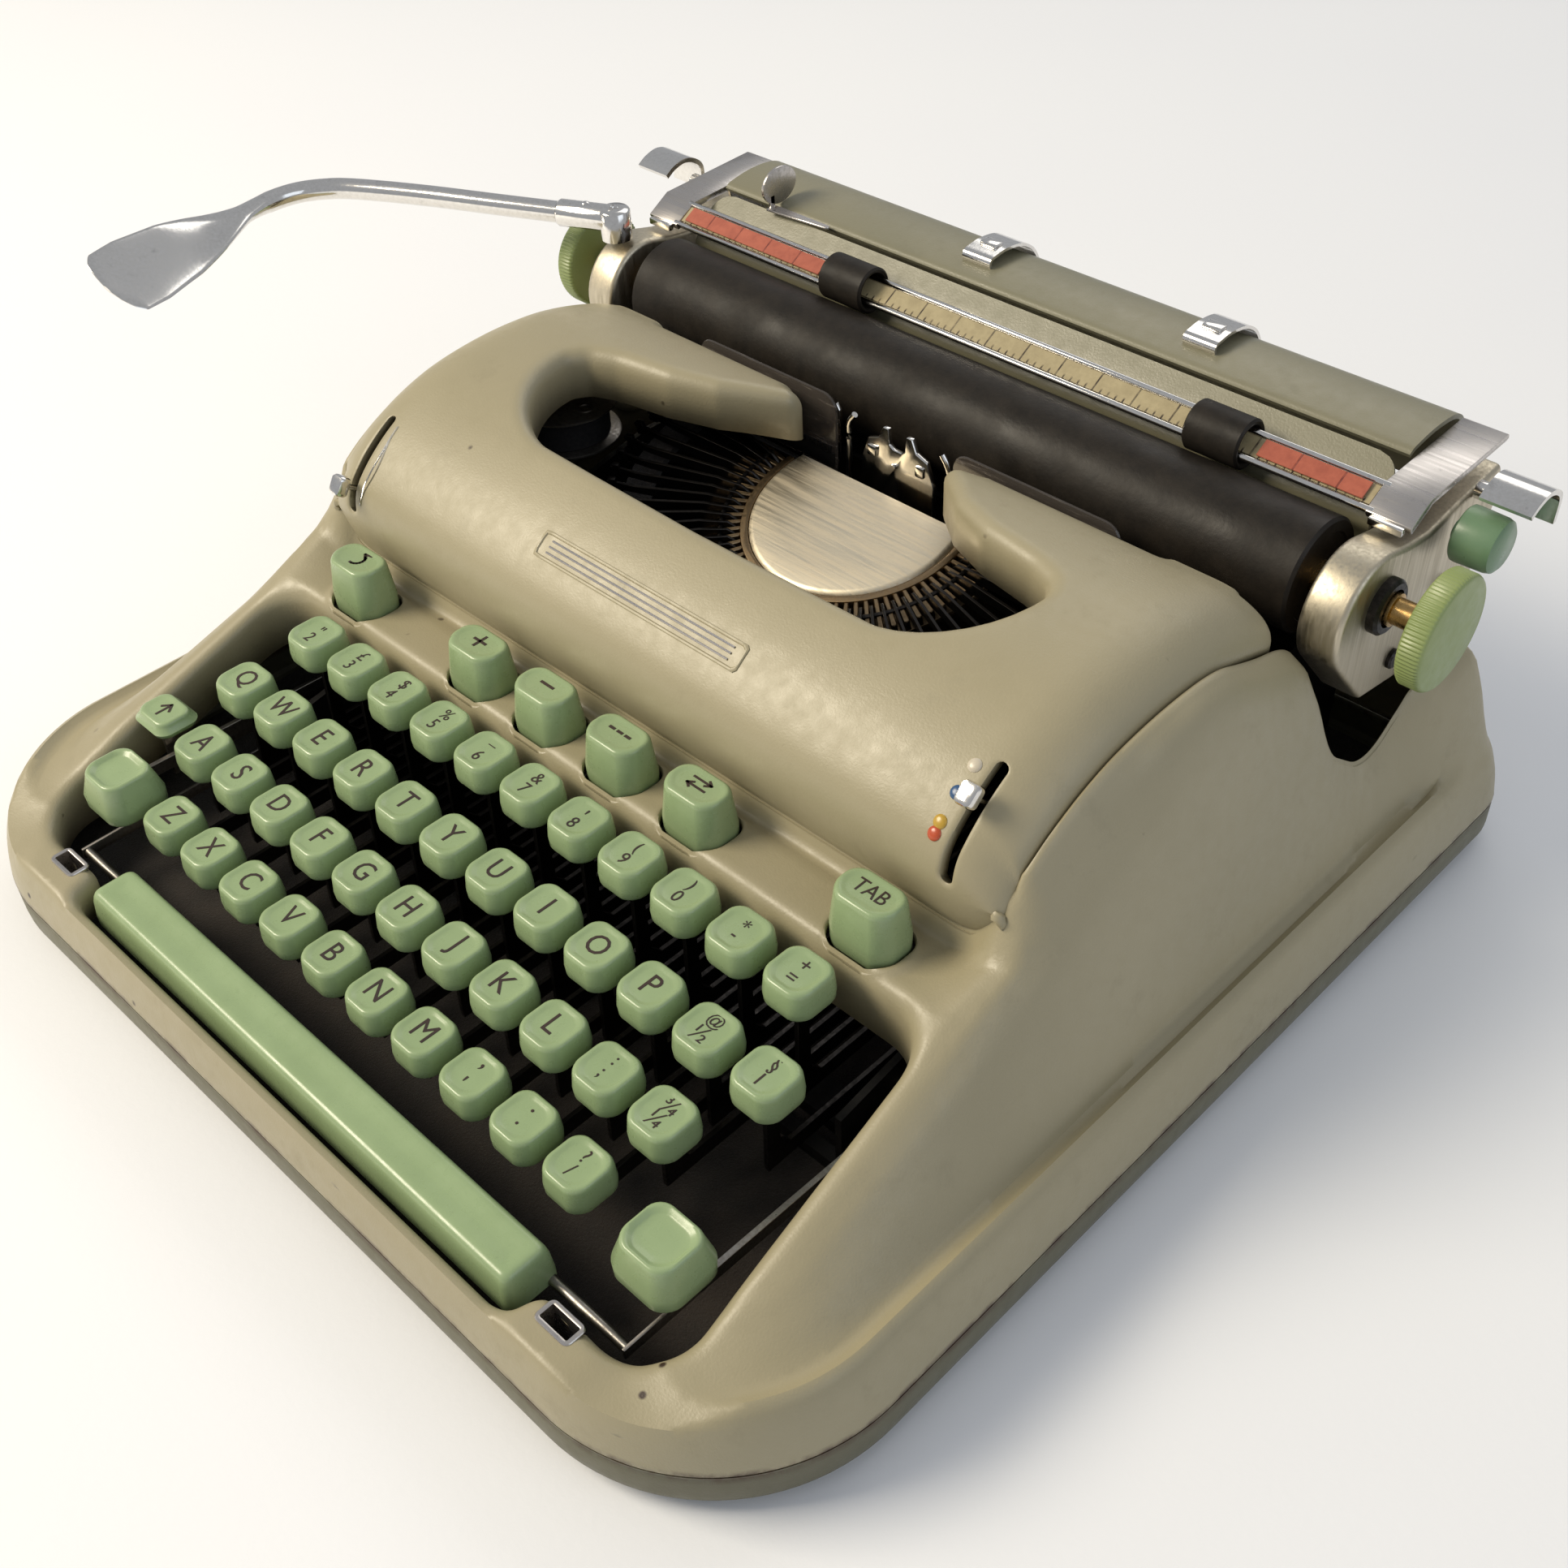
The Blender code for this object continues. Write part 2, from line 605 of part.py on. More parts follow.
def lever(x, y, top, thick=LEVER_THICK):
    """A flat lever from the rear shaft to below a key, with an upright stem into the key top."""
    y_shaft = LEVER_SHAFT[0]
    outline = [
        (y_shaft - 4.2, LEVER_Z - LEVER_DEEP / 2), (y - 2.0, LEVER_Z - LEVER_DEEP / 2), (y - 2.0, top),
        (y + 2.0, top), (y + 2.0, LEVER_Z + LEVER_DEEP / 2), (y_shaft - 4.2, LEVER_Z + LEVER_DEEP / 2),
    ]
    return plate("lever", [outline], x - thick / 2, x + thick / 2, "X")


def key_groups():
    """Each column of four keys, whose levers share one sleeve on the rear shaft."""
    for column in range(KEY_COLUMNS):
        keys = []
        for row in range(4):
            x = FIRST_KEY_X + ROW_OFFSETS[row] + KEY_PITCH * column
            if column == KEY_COLUMNS - 1 and row == 3:
                x, row = FIRST_KEY_X + ROW_OFFSETS[1] + KEY_PITCH * (column + 1), 1
            keys.append((x, ROW_Y[row], ROW_TOP[row]))
        xs = [x for x, _, _ in keys]
        tube_piece, bore = sleeve(min(xs) - 1.6, max(xs) + 1.6)
        pieces = []
        for x, y, top in keys:
            pieces.append(lever(x, y, top - 4.0))
            pieces.append(cap(x, y, top))
        group = fuse(tube_piece, pieces)
        cut(group, [bore])
        name = f"key_group_{column + 1:02d}"
        finish(group, name, material("mint_plastic", MINT, 0.35), (0.0, *LEVER_SHAFT))


def shift_keys():
    mint = material("mint_plastic", MINT, 0.35)
    for name, side in (("shift_key_left", -1), ("shift_key_right", 1)):
        x = side * 112.0
        arm_x = side * 119.8
        tube_piece, bore = sleeve(arm_x - 1.5, arm_x + 1.5)
        outline = [(93.8, 21.7), (-142.0, 28.5), (-142.0, 33.5), (93.8, 26.3)]
        arm = plate("arm", [outline], arm_x - 0.8, arm_x + 0.8, "X")
        low, high = sorted((arm_x, x))
        foot = box("foot", (low - 0.5, -141.5, 29.0), (high + 0.5, -137.0, 33.0))
        key = fuse(tube_piece, [arm, foot, cap(x, -139.5, 43.9, 9.6, 9.0, 13.0, 4.0, 1.8)])
        cut(key, [bore])
        finish(key, name, mint, (0.0, *LEVER_SHAFT))
    tube_piece, bore = sleeve(-125.4, -122.8)
    outline = [(93.8, 21.7), (-120.5, 21.7), (-120.5, 45.0), (-116.5, 45.0), (-116.5, 26.3), (93.8, 26.3)]
    arm = plate("arm", [outline], -124.7, -123.3, "X")
    key = fuse(tube_piece, [arm, cap(-120.0, -118.5, 48.0, 8.0, 6.6, 4.6, 3.0, 1.2)])
    cut(key, [bore])
    finish(key, "shift_lock_key", mint, (0.0, *LEVER_SHAFT))


def space_bar():
    """The bar, the cross rod beneath it and the two arms that turn on pivots beside the keys."""
    bar_rings = []
    for inset, z in ((0.0, 19.0), (0.4, 26.0), (1.2, 29.7), (2.4, 30.7)):
        ring = rounded_rectangle((0.0, -159.4), 89.6 - inset, 7.4 - inset, 2.6 - inset * 0.4, 2)
        bar_rings.append([(x, y, z) for x, y in ring])
    bar = loft("bar", bar_rings)
    pieces = [rod("cross_rod", (-115.4, -154.5, 20.4), (115.4, -154.5, 20.4), 1.5, 8)]
    for side in (-1, 1):
        low, high = sorted((side * 114.4, side * 115.6))
        pieces.append(box("arm", (low, -156.0, 18.4), (high, -58.0, 22.2)))
        pieces.append(rod("pivot", (side * 112.6, -60.0, 20.4), (side * 116.2, -60.0, 20.4), 2.4, 10))
    key = fuse(bar, pieces)
    finish(key, "space_bar", material("mint_plastic", MINT, 0.35), (0.0, -60.0, 20.4))


def control_keys():
    """Tall tapered keys that slide straight down through the strip."""
    for name, x, top in CONTROL_KEYS:
        key = cap(x, CONTROL_Y, top, 9.6, 6.2, 18.0, 3.8, 0.8)
        stem = box("stem", (x - 2.5, CONTROL_Y - 1.0, 44.0), (x + 2.5, CONTROL_Y + 1.0, 62.0))
        fuse(key, [stem])
        finish(key, name, material("mint_plastic", MINT, 0.35), (x, CONTROL_Y, top))


# ---------------------------------------------------------------------------------------- type basket

SEGMENT_CENTRE = (0.0, 44.0, 88.0)
SEGMENT_TILT = 14.0
TYPEBARS = 44


def tilted(obj):
    """Tilts a flat piece of the basket about the segment's centre, front edge down."""
    centre = Vector(SEGMENT_CENTRE) * MM
    turn = Matrix.Rotation(math.radians(SEGMENT_TILT), 4, "X")
    obj.data.transform(Matrix.Translation(centre) @ turn @ Matrix.Translation(-centre))
    return obj


def type_segment():
    """A half ring slotted for the typebars, with the disc plate in its middle."""
    cx, cy, cz = SEGMENT_CENTRE
    ring = arc((cx, cy), 46.0, 168, 372, 24) + arc((cx, cy), 31.0, 372, 168, 16)
    body = plate("ring", [ring], cz - 8.0, cz - 2.0)
    disc = plate("disc", [arc((cx, cy), 32.5, 168, 372, 20)], cz - 5.0, cz - 1.0)
    segment = fuse(body, [disc, box("foot", (cx - 14.0, cy - 12.0, cz - 26.0), (cx + 14.0, cy - 6.0, cz - 4.0))])
    finish(tilted(segment), "type_segment", material("segment_brass", BRASS, 0.4, 0.8), SEGMENT_CENTRE)


def typebar_set():
    """The typebars lying in their rest, held by the curved wire on which they all turn."""
    cx, cy, cz = SEGMENT_CENTRE
    level = cz + 1.2
    wire = [(x, y, level) for x, y in arc((cx, cy), 41.0, 172, 368, 40)]
    base = tube("wire", wire, 1.0, 8)
    bars = []
    for number in range(TYPEBARS):
        angle = math.radians(174.0 + 192.0 * number / (TYPEBARS - 1))
        along = Vector((math.cos(angle), math.sin(angle), 0.0))
        reach = 82.0 - 26.0 * abs(math.sin(angle)) ** 2
        middle = Vector((cx, cy, level)) + along * (38.0 + reach) / 2
        bm = bmesh.new()
        turn = Matrix.Rotation(angle, 4, "Z")
        size = Matrix.Diagonal((reach - 38.0, 0.9, 3.0, 1.0))
        bmesh.ops.create_cube(bm, size=1.0, matrix=Matrix.Translation(middle) @ turn @ size)
        slug = Vector((cx, cy, level)) + along * reach
        size = Matrix.Diagonal((4.0, 1.6, 5.0, 1.0))
        bars.append(from_bmesh("bar", bm))
        bm = bmesh.new()
        bmesh.ops.create_cube(bm, size=1.0, matrix=Matrix.Translation(slug) @ turn @ size)
        bars.append(from_bmesh("slug", bm))
    fuse(base, bars)
    finish(tilted(base), "typebar_set", material("typebar_steel", DARK_STEEL, 0.35, 0.9), SEGMENT_CENTRE)


def type_guide():
    """The fork in front of the platen between whose jaws each type lands, with its plate and ribbon posts."""
    shape = [(-14.0, 70.0), (14.0, 70.0), (14.0, 98.0), (3.0, 104.0), (1.6, 98.5)]
    shape += [(-1.6, 98.5), (-3.0, 104.0), (-14.0, 98.0)]
    guide = plate("guide", [shape], GUIDE_Y, GUIDE_Y + 2.0, "Y")
    posts = [rod("post", (x, GUIDE_Y + 1.2, 78.0), (x, GUIDE_Y + 1.2, 105.0), 1.0, 8) for x in (-19.0, 19.0)]
    bar = box("bar", (-70.0, GUIDE_Y, 66.0), (70.0, GUIDE_Y + 2.4, 80.0))
    fuse(guide, [bar] + posts)
    finish(guide, "type_guide", material("bright_chrome", CHROME, 0.15, 1.0), smooth=False)


def card_holders():
    """Two smoked transparent plates that hold a card against the platen."""
    for name, low, high in (("card_holder_left", -78.0, -22.0), ("card_holder_right", 22.0, 78.0)):
        shape = [(low, 84.0), (high, 84.0), (high, 102.0), (high - 4.0, 108.0), (low + 4.0, 108.0), (low, 102.0)]
        holder = plate("holder", [shape], GUIDE_Y - 1.6, GUIDE_Y - 0.3, "Y")
        finish(holder, name, material("smoked_plastic", SMOKED, 0.1), smooth=False)


def ribbon_spools():
    """Two flanged spools with their ribbon, on posts either side of the type basket."""
    profile = [
        (0.0, 93.0), (17.0, 93.0), (17.0, 92.0), (14.0, 91.6), (14.0, 81.4), (17.0, 81.0), (17.0, 80.0), (0.0, 80.0),
    ]
    for name, side in (("ribbon_spool_left", -1), ("ribbon_spool_right", 1)):
        place = (side * 104.0, 24.0, 0.0)
        spool = turned("spool", profile, place, "Z", 24)
        finish(spool, name, material("ribbon_black", RUBBER, 0.7), place)


def levers_in_slots():
    """The touch lever on the left and the ribbon colour lever on the right, each with its knob outside a slot."""
    for name, side, angle in (("touch_lever", -1, 147.0), ("colour_selector", 1, 133.0)):
        x = side * 112.6
        pivot = Vector((x, *SLOT_PIVOT))
        along = Vector((0.0, math.cos(math.radians(angle)), math.sin(math.radians(angle))))
        tip = pivot + along * SLOT_LEVER_REACH
        arm = tube("arm", [pivot, pivot.lerp(tip, 0.5), tip], 1.0, 8)
        hub = rod("hub", (x - 1.6, *SLOT_PIVOT), (x + 1.6, *SLOT_PIVOT), 3.0, 12)
        knob = rod("knob", pivot + along * (SLOT_LEVER_REACH - 1.0), pivot + along * (SLOT_LEVER_REACH + 2.4), 3.4, 12, 2.8)
        fuse(hub, [arm, knob])
        finish(hub, name, material("bright_chrome", CHROME, 0.15, 1.0), pivot)


# ---------------------------------------------------------------------------------------- carriage


def carriage_rail():
    rail = box("rail", (-106.0, 112.0, 56.0 + GAP), (106.0, 122.0, 61.0))
    groove = box("lip", (-106.0, 115.0, 60.0), (106.0, 119.0, 64.0))
    fuse(rail, [groove])
    finish(rail, "carriage_rail", material("steel", STEEL, 0.35, 1.0), smooth=False)


def casting_outline():
    """Side view of an end casting, as (y, z): a rounded nose by the platen, a leg, and a long arm to the rear."""
    nose = arc((82.0, 98.0), 17.0, 215, 80, 7)
    arm = [(94.0, 112.5), (104.0, 111.0), (138.0, 115.5), (141.0, 108.0), (132.0, 66.0)]
    return [(104.0, 66.0), (84.0, 69.5)] + nose + arm


def carriage_frame():
    """The two end castings and the beams that join them over the rail."""
    castings = []
    for low, high in ((-CASTING_X[1], -CASTING_X[0]), CASTING_X):
        castings.append(bevel(plate("casting", [casting_outline()], low, high, "X"), 1.2, 1, 50.0))
    beams = [
        box("beam", (-130.0, 110.0, 66.0), (130.0, 126.0, 72.0)),
        box("truck", (-60.0, 110.0, 65.0), (60.0, 114.5, 67.0)),
        box("back", (-124.4, 128.0, 68.0), (124.4, 130.0, 98.5)),
        box("link", (-60.0, 124.0, 68.0), (60.0, 129.0, 71.0)),
    ]
    frame = fuse(castings[0], [castings[1]] + beams)
    bore = rod("bore", (-145.0, *AXIS), (145.0, *AXIS), 5.0 + GAP, 16)
    cut(frame, [bore])
    return finish(frame, "carriage_frame", material("grey_metallic", (0.30, 0.28, 0.24), 0.35, 0.7), (0.0, 118.0, 66.0))


def platen():
    profile = [
        (0.0, -SHAFT_END), (4.6, -SHAFT_END), (4.6, -PLATEN_HALF), (PLATEN_RADIUS, -PLATEN_HALF),
        (PLATEN_RADIUS, PLATEN_HALF), (4.6, PLATEN_HALF), (4.6, SHAFT_END), (0.0, SHAFT_END),
    ]
    roller = turned("roller", profile, (0.0, *AXIS), "X", 40)
    finish(roller, "platen", material("platen_rubber", RUBBER, 0.45), (0.0, *AXIS))


def platen_knobs():
    green = material("knob_green", KNOB_GREEN, 0.35)
    for name, side in (("platen_knob_left", -1), ("platen_knob_right", 1)):
        near, far = KNOB_X
        rise = [(0.0, side * near), (KNOB_RADIUS - 1.2, side * near), (KNOB_RADIUS, side * (near + 1.2))]
        rise += [(KNOB_RADIUS, side * (far - 1.5)), (KNOB_RADIUS - 1.5, side * far), (0.0, side * far)]
        knob = turned("knob", rise, (0.0, *AXIS), "X", 40)
        finish(knob, name, green, (0.0, *AXIS))


def sheet(name, profile, low_x, high_x, thick):
    """A bent metal sheet: its side view as (y, z), given a thickness and a width."""
    points = [Vector(point) for point in profile]
    normals = []
    for i in range(len(points)):
        before = points[max(i - 1, 0)]
        after = points[min(i + 1, len(points) - 1)]
        along = (after - before).normalized()
        normals.append(Vector((-along.y, along.x)))
    inner = [point - normal * thick for point, normal in zip(points, normals)]
    outline = [tuple(p) for p in points] + [tuple(p) for p in reversed(inner)]
    return plate(name, [outline], low_x, high_x, "X")


def paper_table():
    """The curved plate that guides paper up behind the platen."""
    cy, cz = AXIS
    radius = PLATEN_RADIUS + 2.6
    profile = [(113.0, 122.0), (107.0, 116.5)]
    profile += [(cy + radius * math.cos(a), cz + radius * math.sin(a)) for a in np.radians((30, 8, -15, -45))]
    table = sheet("table", profile, -124.0, 124.0, -1.6)
    finish(table, "paper_table", material("table_green", (0.22, 0.21, 0.14), 0.5))


def rear_shield():
    """The shallow hood over the back of the carriage."""
    profile = [(145.5, 98.0), (146.0, 112.0), (143.5, 120.0), (138.0, 124.0), (128.0, 125.0), (118.0, 123.8)]
    shield = sheet("shield", profile + [(115.2, 122.4)], -124.0, 124.0, -1.6)
    finish(shield, "rear_shield", material("table_green", (0.22, 0.21, 0.14), 0.5))


def on_bail(along, out=0.0):
    """A point of the scale bar's side view: along its width towards the rear, and out from its face."""
    tilt = math.radians(BAIL_TILT)
    y, z = BAIL_CENTRE
    return (y + along * math.cos(tilt) - out * math.sin(tilt), z + along * math.sin(tilt) + out * math.cos(tilt))


def paper_bail():
    """The scale bar that holds the paper to the platen, with its two end arms and their pivot webs."""
    outline = [on_bail(-4.8, -0.8), on_bail(4.8, -0.8), on_bail(4.8, 0.8), on_bail(-4.8, 0.8)]
    bail = plate("ruler", [outline], -RULER_HALF - 2.0, RULER_HALF + 2.0, "X")
    arms = []
    for side in (-1, 1):
        low, high = sorted((side * 125.0, side * 138.0))
        arm = [on_bail(-5.2, 0.5), on_bail(4.4, 0.5), (140.0, 122.6), (140.0, 121.0), on_bail(4.4, -1.7)]
        arms.append(plate("arm", [arm + [on_bail(-5.2, -1.7)]], low, high, "X"))
        low, high = sorted((side * 124.9, side * 126.4))
        web = [(118.0, 120.2), (136.0, 121.6), (132.0, 99.0), (124.0, 99.0)]
        arms.append(plate("web", [web], low, high, "X"))
    fuse(bail, arms)
    finish(bail, "paper_bail", material("bright_chrome", CHROME, 0.15, 1.0), (0.0, *BAIL_PIVOT), smooth=False)


def bail_rollers():
    profile = [(5.5, -8.5), (7.0, -8.5), (7.0, 8.5), (5.5, 8.5), (5.5, -8.5)]
    for name, x in (("bail_roller_left", -52.0), ("bail_roller_right", 80.0)):
        roller = turned("roller", profile, (x, *BAIL_CENTRE), "X", 24)
        finish(roller, name, material("platen_rubber", RUBBER, 0.45), (x, *BAIL_CENTRE))


def margin_strips():
    """The red strips that slide along the scale bar and show where the margins stand."""
    for name, low, high in (("margin_strip_left", -123.0, -64.0), ("margin_strip_right", 92.0, 123.0)):
        outline = [on_bail(a, o) for a, o in ((-2.6, 1.1), (2.6, 1.1), (2.6, 1.7), (-2.6, 1.7))]
        strip = plate("strip", [outline], low, high, "X")
        middle = ((low + high) / 2, *BAIL_CENTRE)
        finish(strip, name, material("red_strip", RED, 0.5), middle, smooth=False)


def margin_stops():
    """The chrome clips that ride on the crest of the rear shield."""
    shape = [
        (124.4, 125.6), (128.0, 127.0), (138.6, 126.0), (145.2, 121.0), (146.2, 117.0),
        (146.9, 117.2), (146.2, 122.0), (139.4, 127.6), (128.0, 128.6), (123.0, 127.0), (122.6, 125.4),
    ]
    for name, x in (("margin_stop_left", -24.0), ("margin_stop_right", 55.0)):
        clip = plate("clip", [shape], x - 5.5, x + 5.5, "X")
        finish(clip, name, material("bright_chrome", CHROME, 0.15, 1.0), (x, 135.0, 126.0), smooth=False)


def return_lever():
    """A tube from its pivot on the left casting, bent forward and flattened to a spoon."""
    px, py = LEVER_PIVOT
    z = LEVER_HEIGHT
    hub = rod("hub", (px, py, 116.2), (px, py, z + 3.6), 5.0, 16)
    stem = rod("stem", (px, py, z), (px - 16.0, py - 7.5, z), 4.4, 12)
    straight = [(px - 10.0, py - 4.7, z), (px - 62.0, py - 29.0, z), (px - 84.0, py - 41.0, z)]
    bend = [(px - 92.0, py - 48.0, z), (px - 96.5, py - 56.0, z), (px - 97.5, py - 66.0, z)]
    arm = tube("arm", straight + bend, 3.4, 8)
    centre = Vector((px - 96.0, py - 72.0, z))
    tip = Vector((px - 82.0, py - 134.0, z))
    along = (tip - centre).normalized()
    level = Vector((-along.y, along.x, 0.0))
    spoon = ((-0.12, 3.6, 3.0), (0.1, 5.6, 2.2), (0.4, 10.0, 1.5), (0.75, 12.5, 1.2), (0.93, 9.0, 1.1), (1.0, 4.0, 0.8))
    rings = []
    for t, half, thick in spoon:
        turn = math.radians(SPOON_TILT) * min(max(t, 0.0) / 0.4, 1.0)
        across = level * math.cos(turn) - Vector((0.0, 0.0, math.sin(turn)))
        out = level * math.sin(turn) + Vector((0.0, 0.0, math.cos(turn)))
        middle = centre.lerp(tip, t)
        angles = np.radians(np.arange(22.5, 360.0, 45.0))
        rings.append([middle + across * half * math.cos(a) + out * thick * math.sin(a) for a in angles])
    fuse(hub, [stem, arm, loft("spoon", rings)])
    finish(hub, "return_lever", material("bright_chrome", CHROME, 0.15, 1.0), (px, py, z))


def release_levers():
    """The carriage release levers outside each end casting."""
    for name, side in (("carriage_release_left", -1), ("carriage_release_right", 1)):
        shape = [(123.0, 112.0), (127.0, 112.0), (127.5, 122.0), (118.0, 126.5), (109.0, 123.5), (110.0, 121.5), (118.0, 123.0), (123.5, 120.5)]
        low, high = sorted((side * 146.0, side * 160.0))
        paddle = plate("paddle", [shape], low, high, "X")
        low, high = sorted((side * (CASTING_X[1] + GAP), side * 150.0))
        pin = rod("pin", (low, 125.0, 114.0), (high, 125.0, 114.0), 2.6, 12)
        fuse(paddle, [pin])
        finish(paddle, name, material("bright_chrome", CHROME, 0.15, 1.0), (side * 150.0, 125.0, 114.0))


def side_button():
    button = turned(
        "button",
        [(0.0, 141.6), (3.0, 141.6), (3.0, 143.4), (7.6, 143.4), (7.6, 153.2), (6.4, 155.0), (0.0, 155.0)],
        (0.0, 111.8, 109.6),
        "X",
        24,
    )
    finish(button, "line_space_button", material("button_green", BUTTON_GREEN, 0.3), (149.0, 111.8, 109.6))


def paper_edge_guide():
    """The small triangular plate, with its finger blade, that slides along the paper table's rear edge."""
    shape = [(-100.4, 110.2), (-76.0, 112.6), (-78.0, 114.4), (-97.0, 114.4)]
    guide = plate("guide", [shape], 122.9, 123.9)
    oval = [(116.0 + 7.5 * math.cos(a), 129.9 + 6.0 * math.sin(a)) for a in np.radians(np.arange(0, 360, 22.5))]
    blade = plate("blade", [oval], -100.8, -99.2, "X")
    fuse(guide, [blade, box("stem", (-100.8, 111.4, 122.9), (-99.2, 113.8, 127.6))])
    finish(guide, "paper_edge_guide", material("bright_chrome", CHROME, 0.15, 1.0), (-94.0, 112.0, 123.5))


start_scene()
base_tray()
rubber_feet()
body_shell()
top_cover()
latch_sockets()
main_frame()
key_lever_shaft()
key_groups()
shift_keys()
space_bar()
control_keys()
type_segment()
typebar_set()
type_guide()
card_holders()
ribbon_spools()
levers_in_slots()
carriage_rail()
carriage_frame()
platen()
platen_knobs()
paper_table()
rear_shield()
paper_bail()
bail_rollers()
margin_strips()
margin_stops()
return_lever()
release_levers()
side_button()
paper_edge_guide()
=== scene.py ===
"""The looks of a portable typewriter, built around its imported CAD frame.

Lengths are in millimetres in the machine's own frame: x = 0 midway between its sides, the front at -y, z = 0
under its feet. to_world() turns them into the frame's metres. Every piece rides on the CAD body that
carries it.
"""

import math

import bmesh
import bpy
import numpy as np
from mathutils import Matrix, Vector
from mathutils.geometry import delaunay_2d_cdt


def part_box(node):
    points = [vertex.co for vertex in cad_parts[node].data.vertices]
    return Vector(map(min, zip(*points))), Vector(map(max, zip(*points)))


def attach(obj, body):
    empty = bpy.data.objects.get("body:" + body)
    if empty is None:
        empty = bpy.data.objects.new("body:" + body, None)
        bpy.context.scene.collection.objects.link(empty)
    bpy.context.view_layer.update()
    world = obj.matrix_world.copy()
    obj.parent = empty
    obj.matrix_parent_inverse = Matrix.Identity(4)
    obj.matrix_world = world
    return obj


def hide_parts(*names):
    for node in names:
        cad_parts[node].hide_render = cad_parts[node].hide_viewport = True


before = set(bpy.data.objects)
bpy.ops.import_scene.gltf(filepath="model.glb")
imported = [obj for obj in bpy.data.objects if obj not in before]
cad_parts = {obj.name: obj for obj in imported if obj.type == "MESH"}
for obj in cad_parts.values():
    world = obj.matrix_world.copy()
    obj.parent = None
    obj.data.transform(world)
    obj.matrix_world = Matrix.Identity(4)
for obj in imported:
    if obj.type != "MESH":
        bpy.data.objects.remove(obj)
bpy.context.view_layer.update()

MM = 0.001

# Body, in plan and height
HALF_WIDTH = 163.3
FRONT_Y = -175.7
BACK_Y = 147.0
FRONT_RADIUS = 53.0
BACK_RADIUS = 18.0
SEAM = 0.4
STRIP_Z = 63.5
PAINT_WALL = 1.2

# Keyboard
KEY_PITCH = 19.0
FIRST_KEY_X = -95.0
ROW_OFFSETS = (0.0, -9.5, -4.75, 4.75)
ROW_Y = (-79.0, -99.4, -118.5, -136.8)
ROW_TOP = (65.9, 56.2, 47.5, 38.2)
CAP_HEIGHT = 9.4
LEVER_SHAFT = (98.0, 24.0)
CONTROL_Y = -58.6
CONTROL_KEYS = (
    ("margin_release_key", -99.2, 78.4, "arrow"),
    ("tab_set_key", -44.7, 76.5, "plus"),
    ("tab_clear_key", -16.5, 76.5, "minus"),
    ("paragraph_key", 12.1, 76.5, "dashes"),
    ("ribbon_reverse_key", 41.3, 76.5, "arrows"),
    ("tabulator_key", 98.5, 78.4, "TAB"),
)
LATCH_X = 104.1
LATCH_Y = -163.35

# Cover
COVER_HALF = 126.6
SLOT_X = 112.6

# Carriage
AXIS = (84.5, 100.0)
PLATEN_RADIUS = 16.0
PLATEN_HALF = 121.5
CASTING_X = (127.0, 139.0)
KNOB_X = (151.5, 158.5)
KNOB_RADIUS = 15.75
SPOON_TILT = 35.0
BAIL_CENTRE = (98.6, 118.6)
BAIL_TILT = 30.0
RULER_HALF = 126.0
SHEET_HALF = 124.0
GUIDE_Y = 60.0
SEGMENT_CENTRE = (0.0, 44.0, 88.0)
SEGMENT_TILT = 14.0
TYPEBARS = 44

tray_low, tray_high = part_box("base_tray")
ORIGIN = Vector(((tray_low.x + tray_high.x) / 2, tray_low.y - FRONT_Y * MM, 0.0))


def to_world(point):
    return Vector(point) * MM + ORIGIN


# ---------------------------------------------------------------------------------------- materials


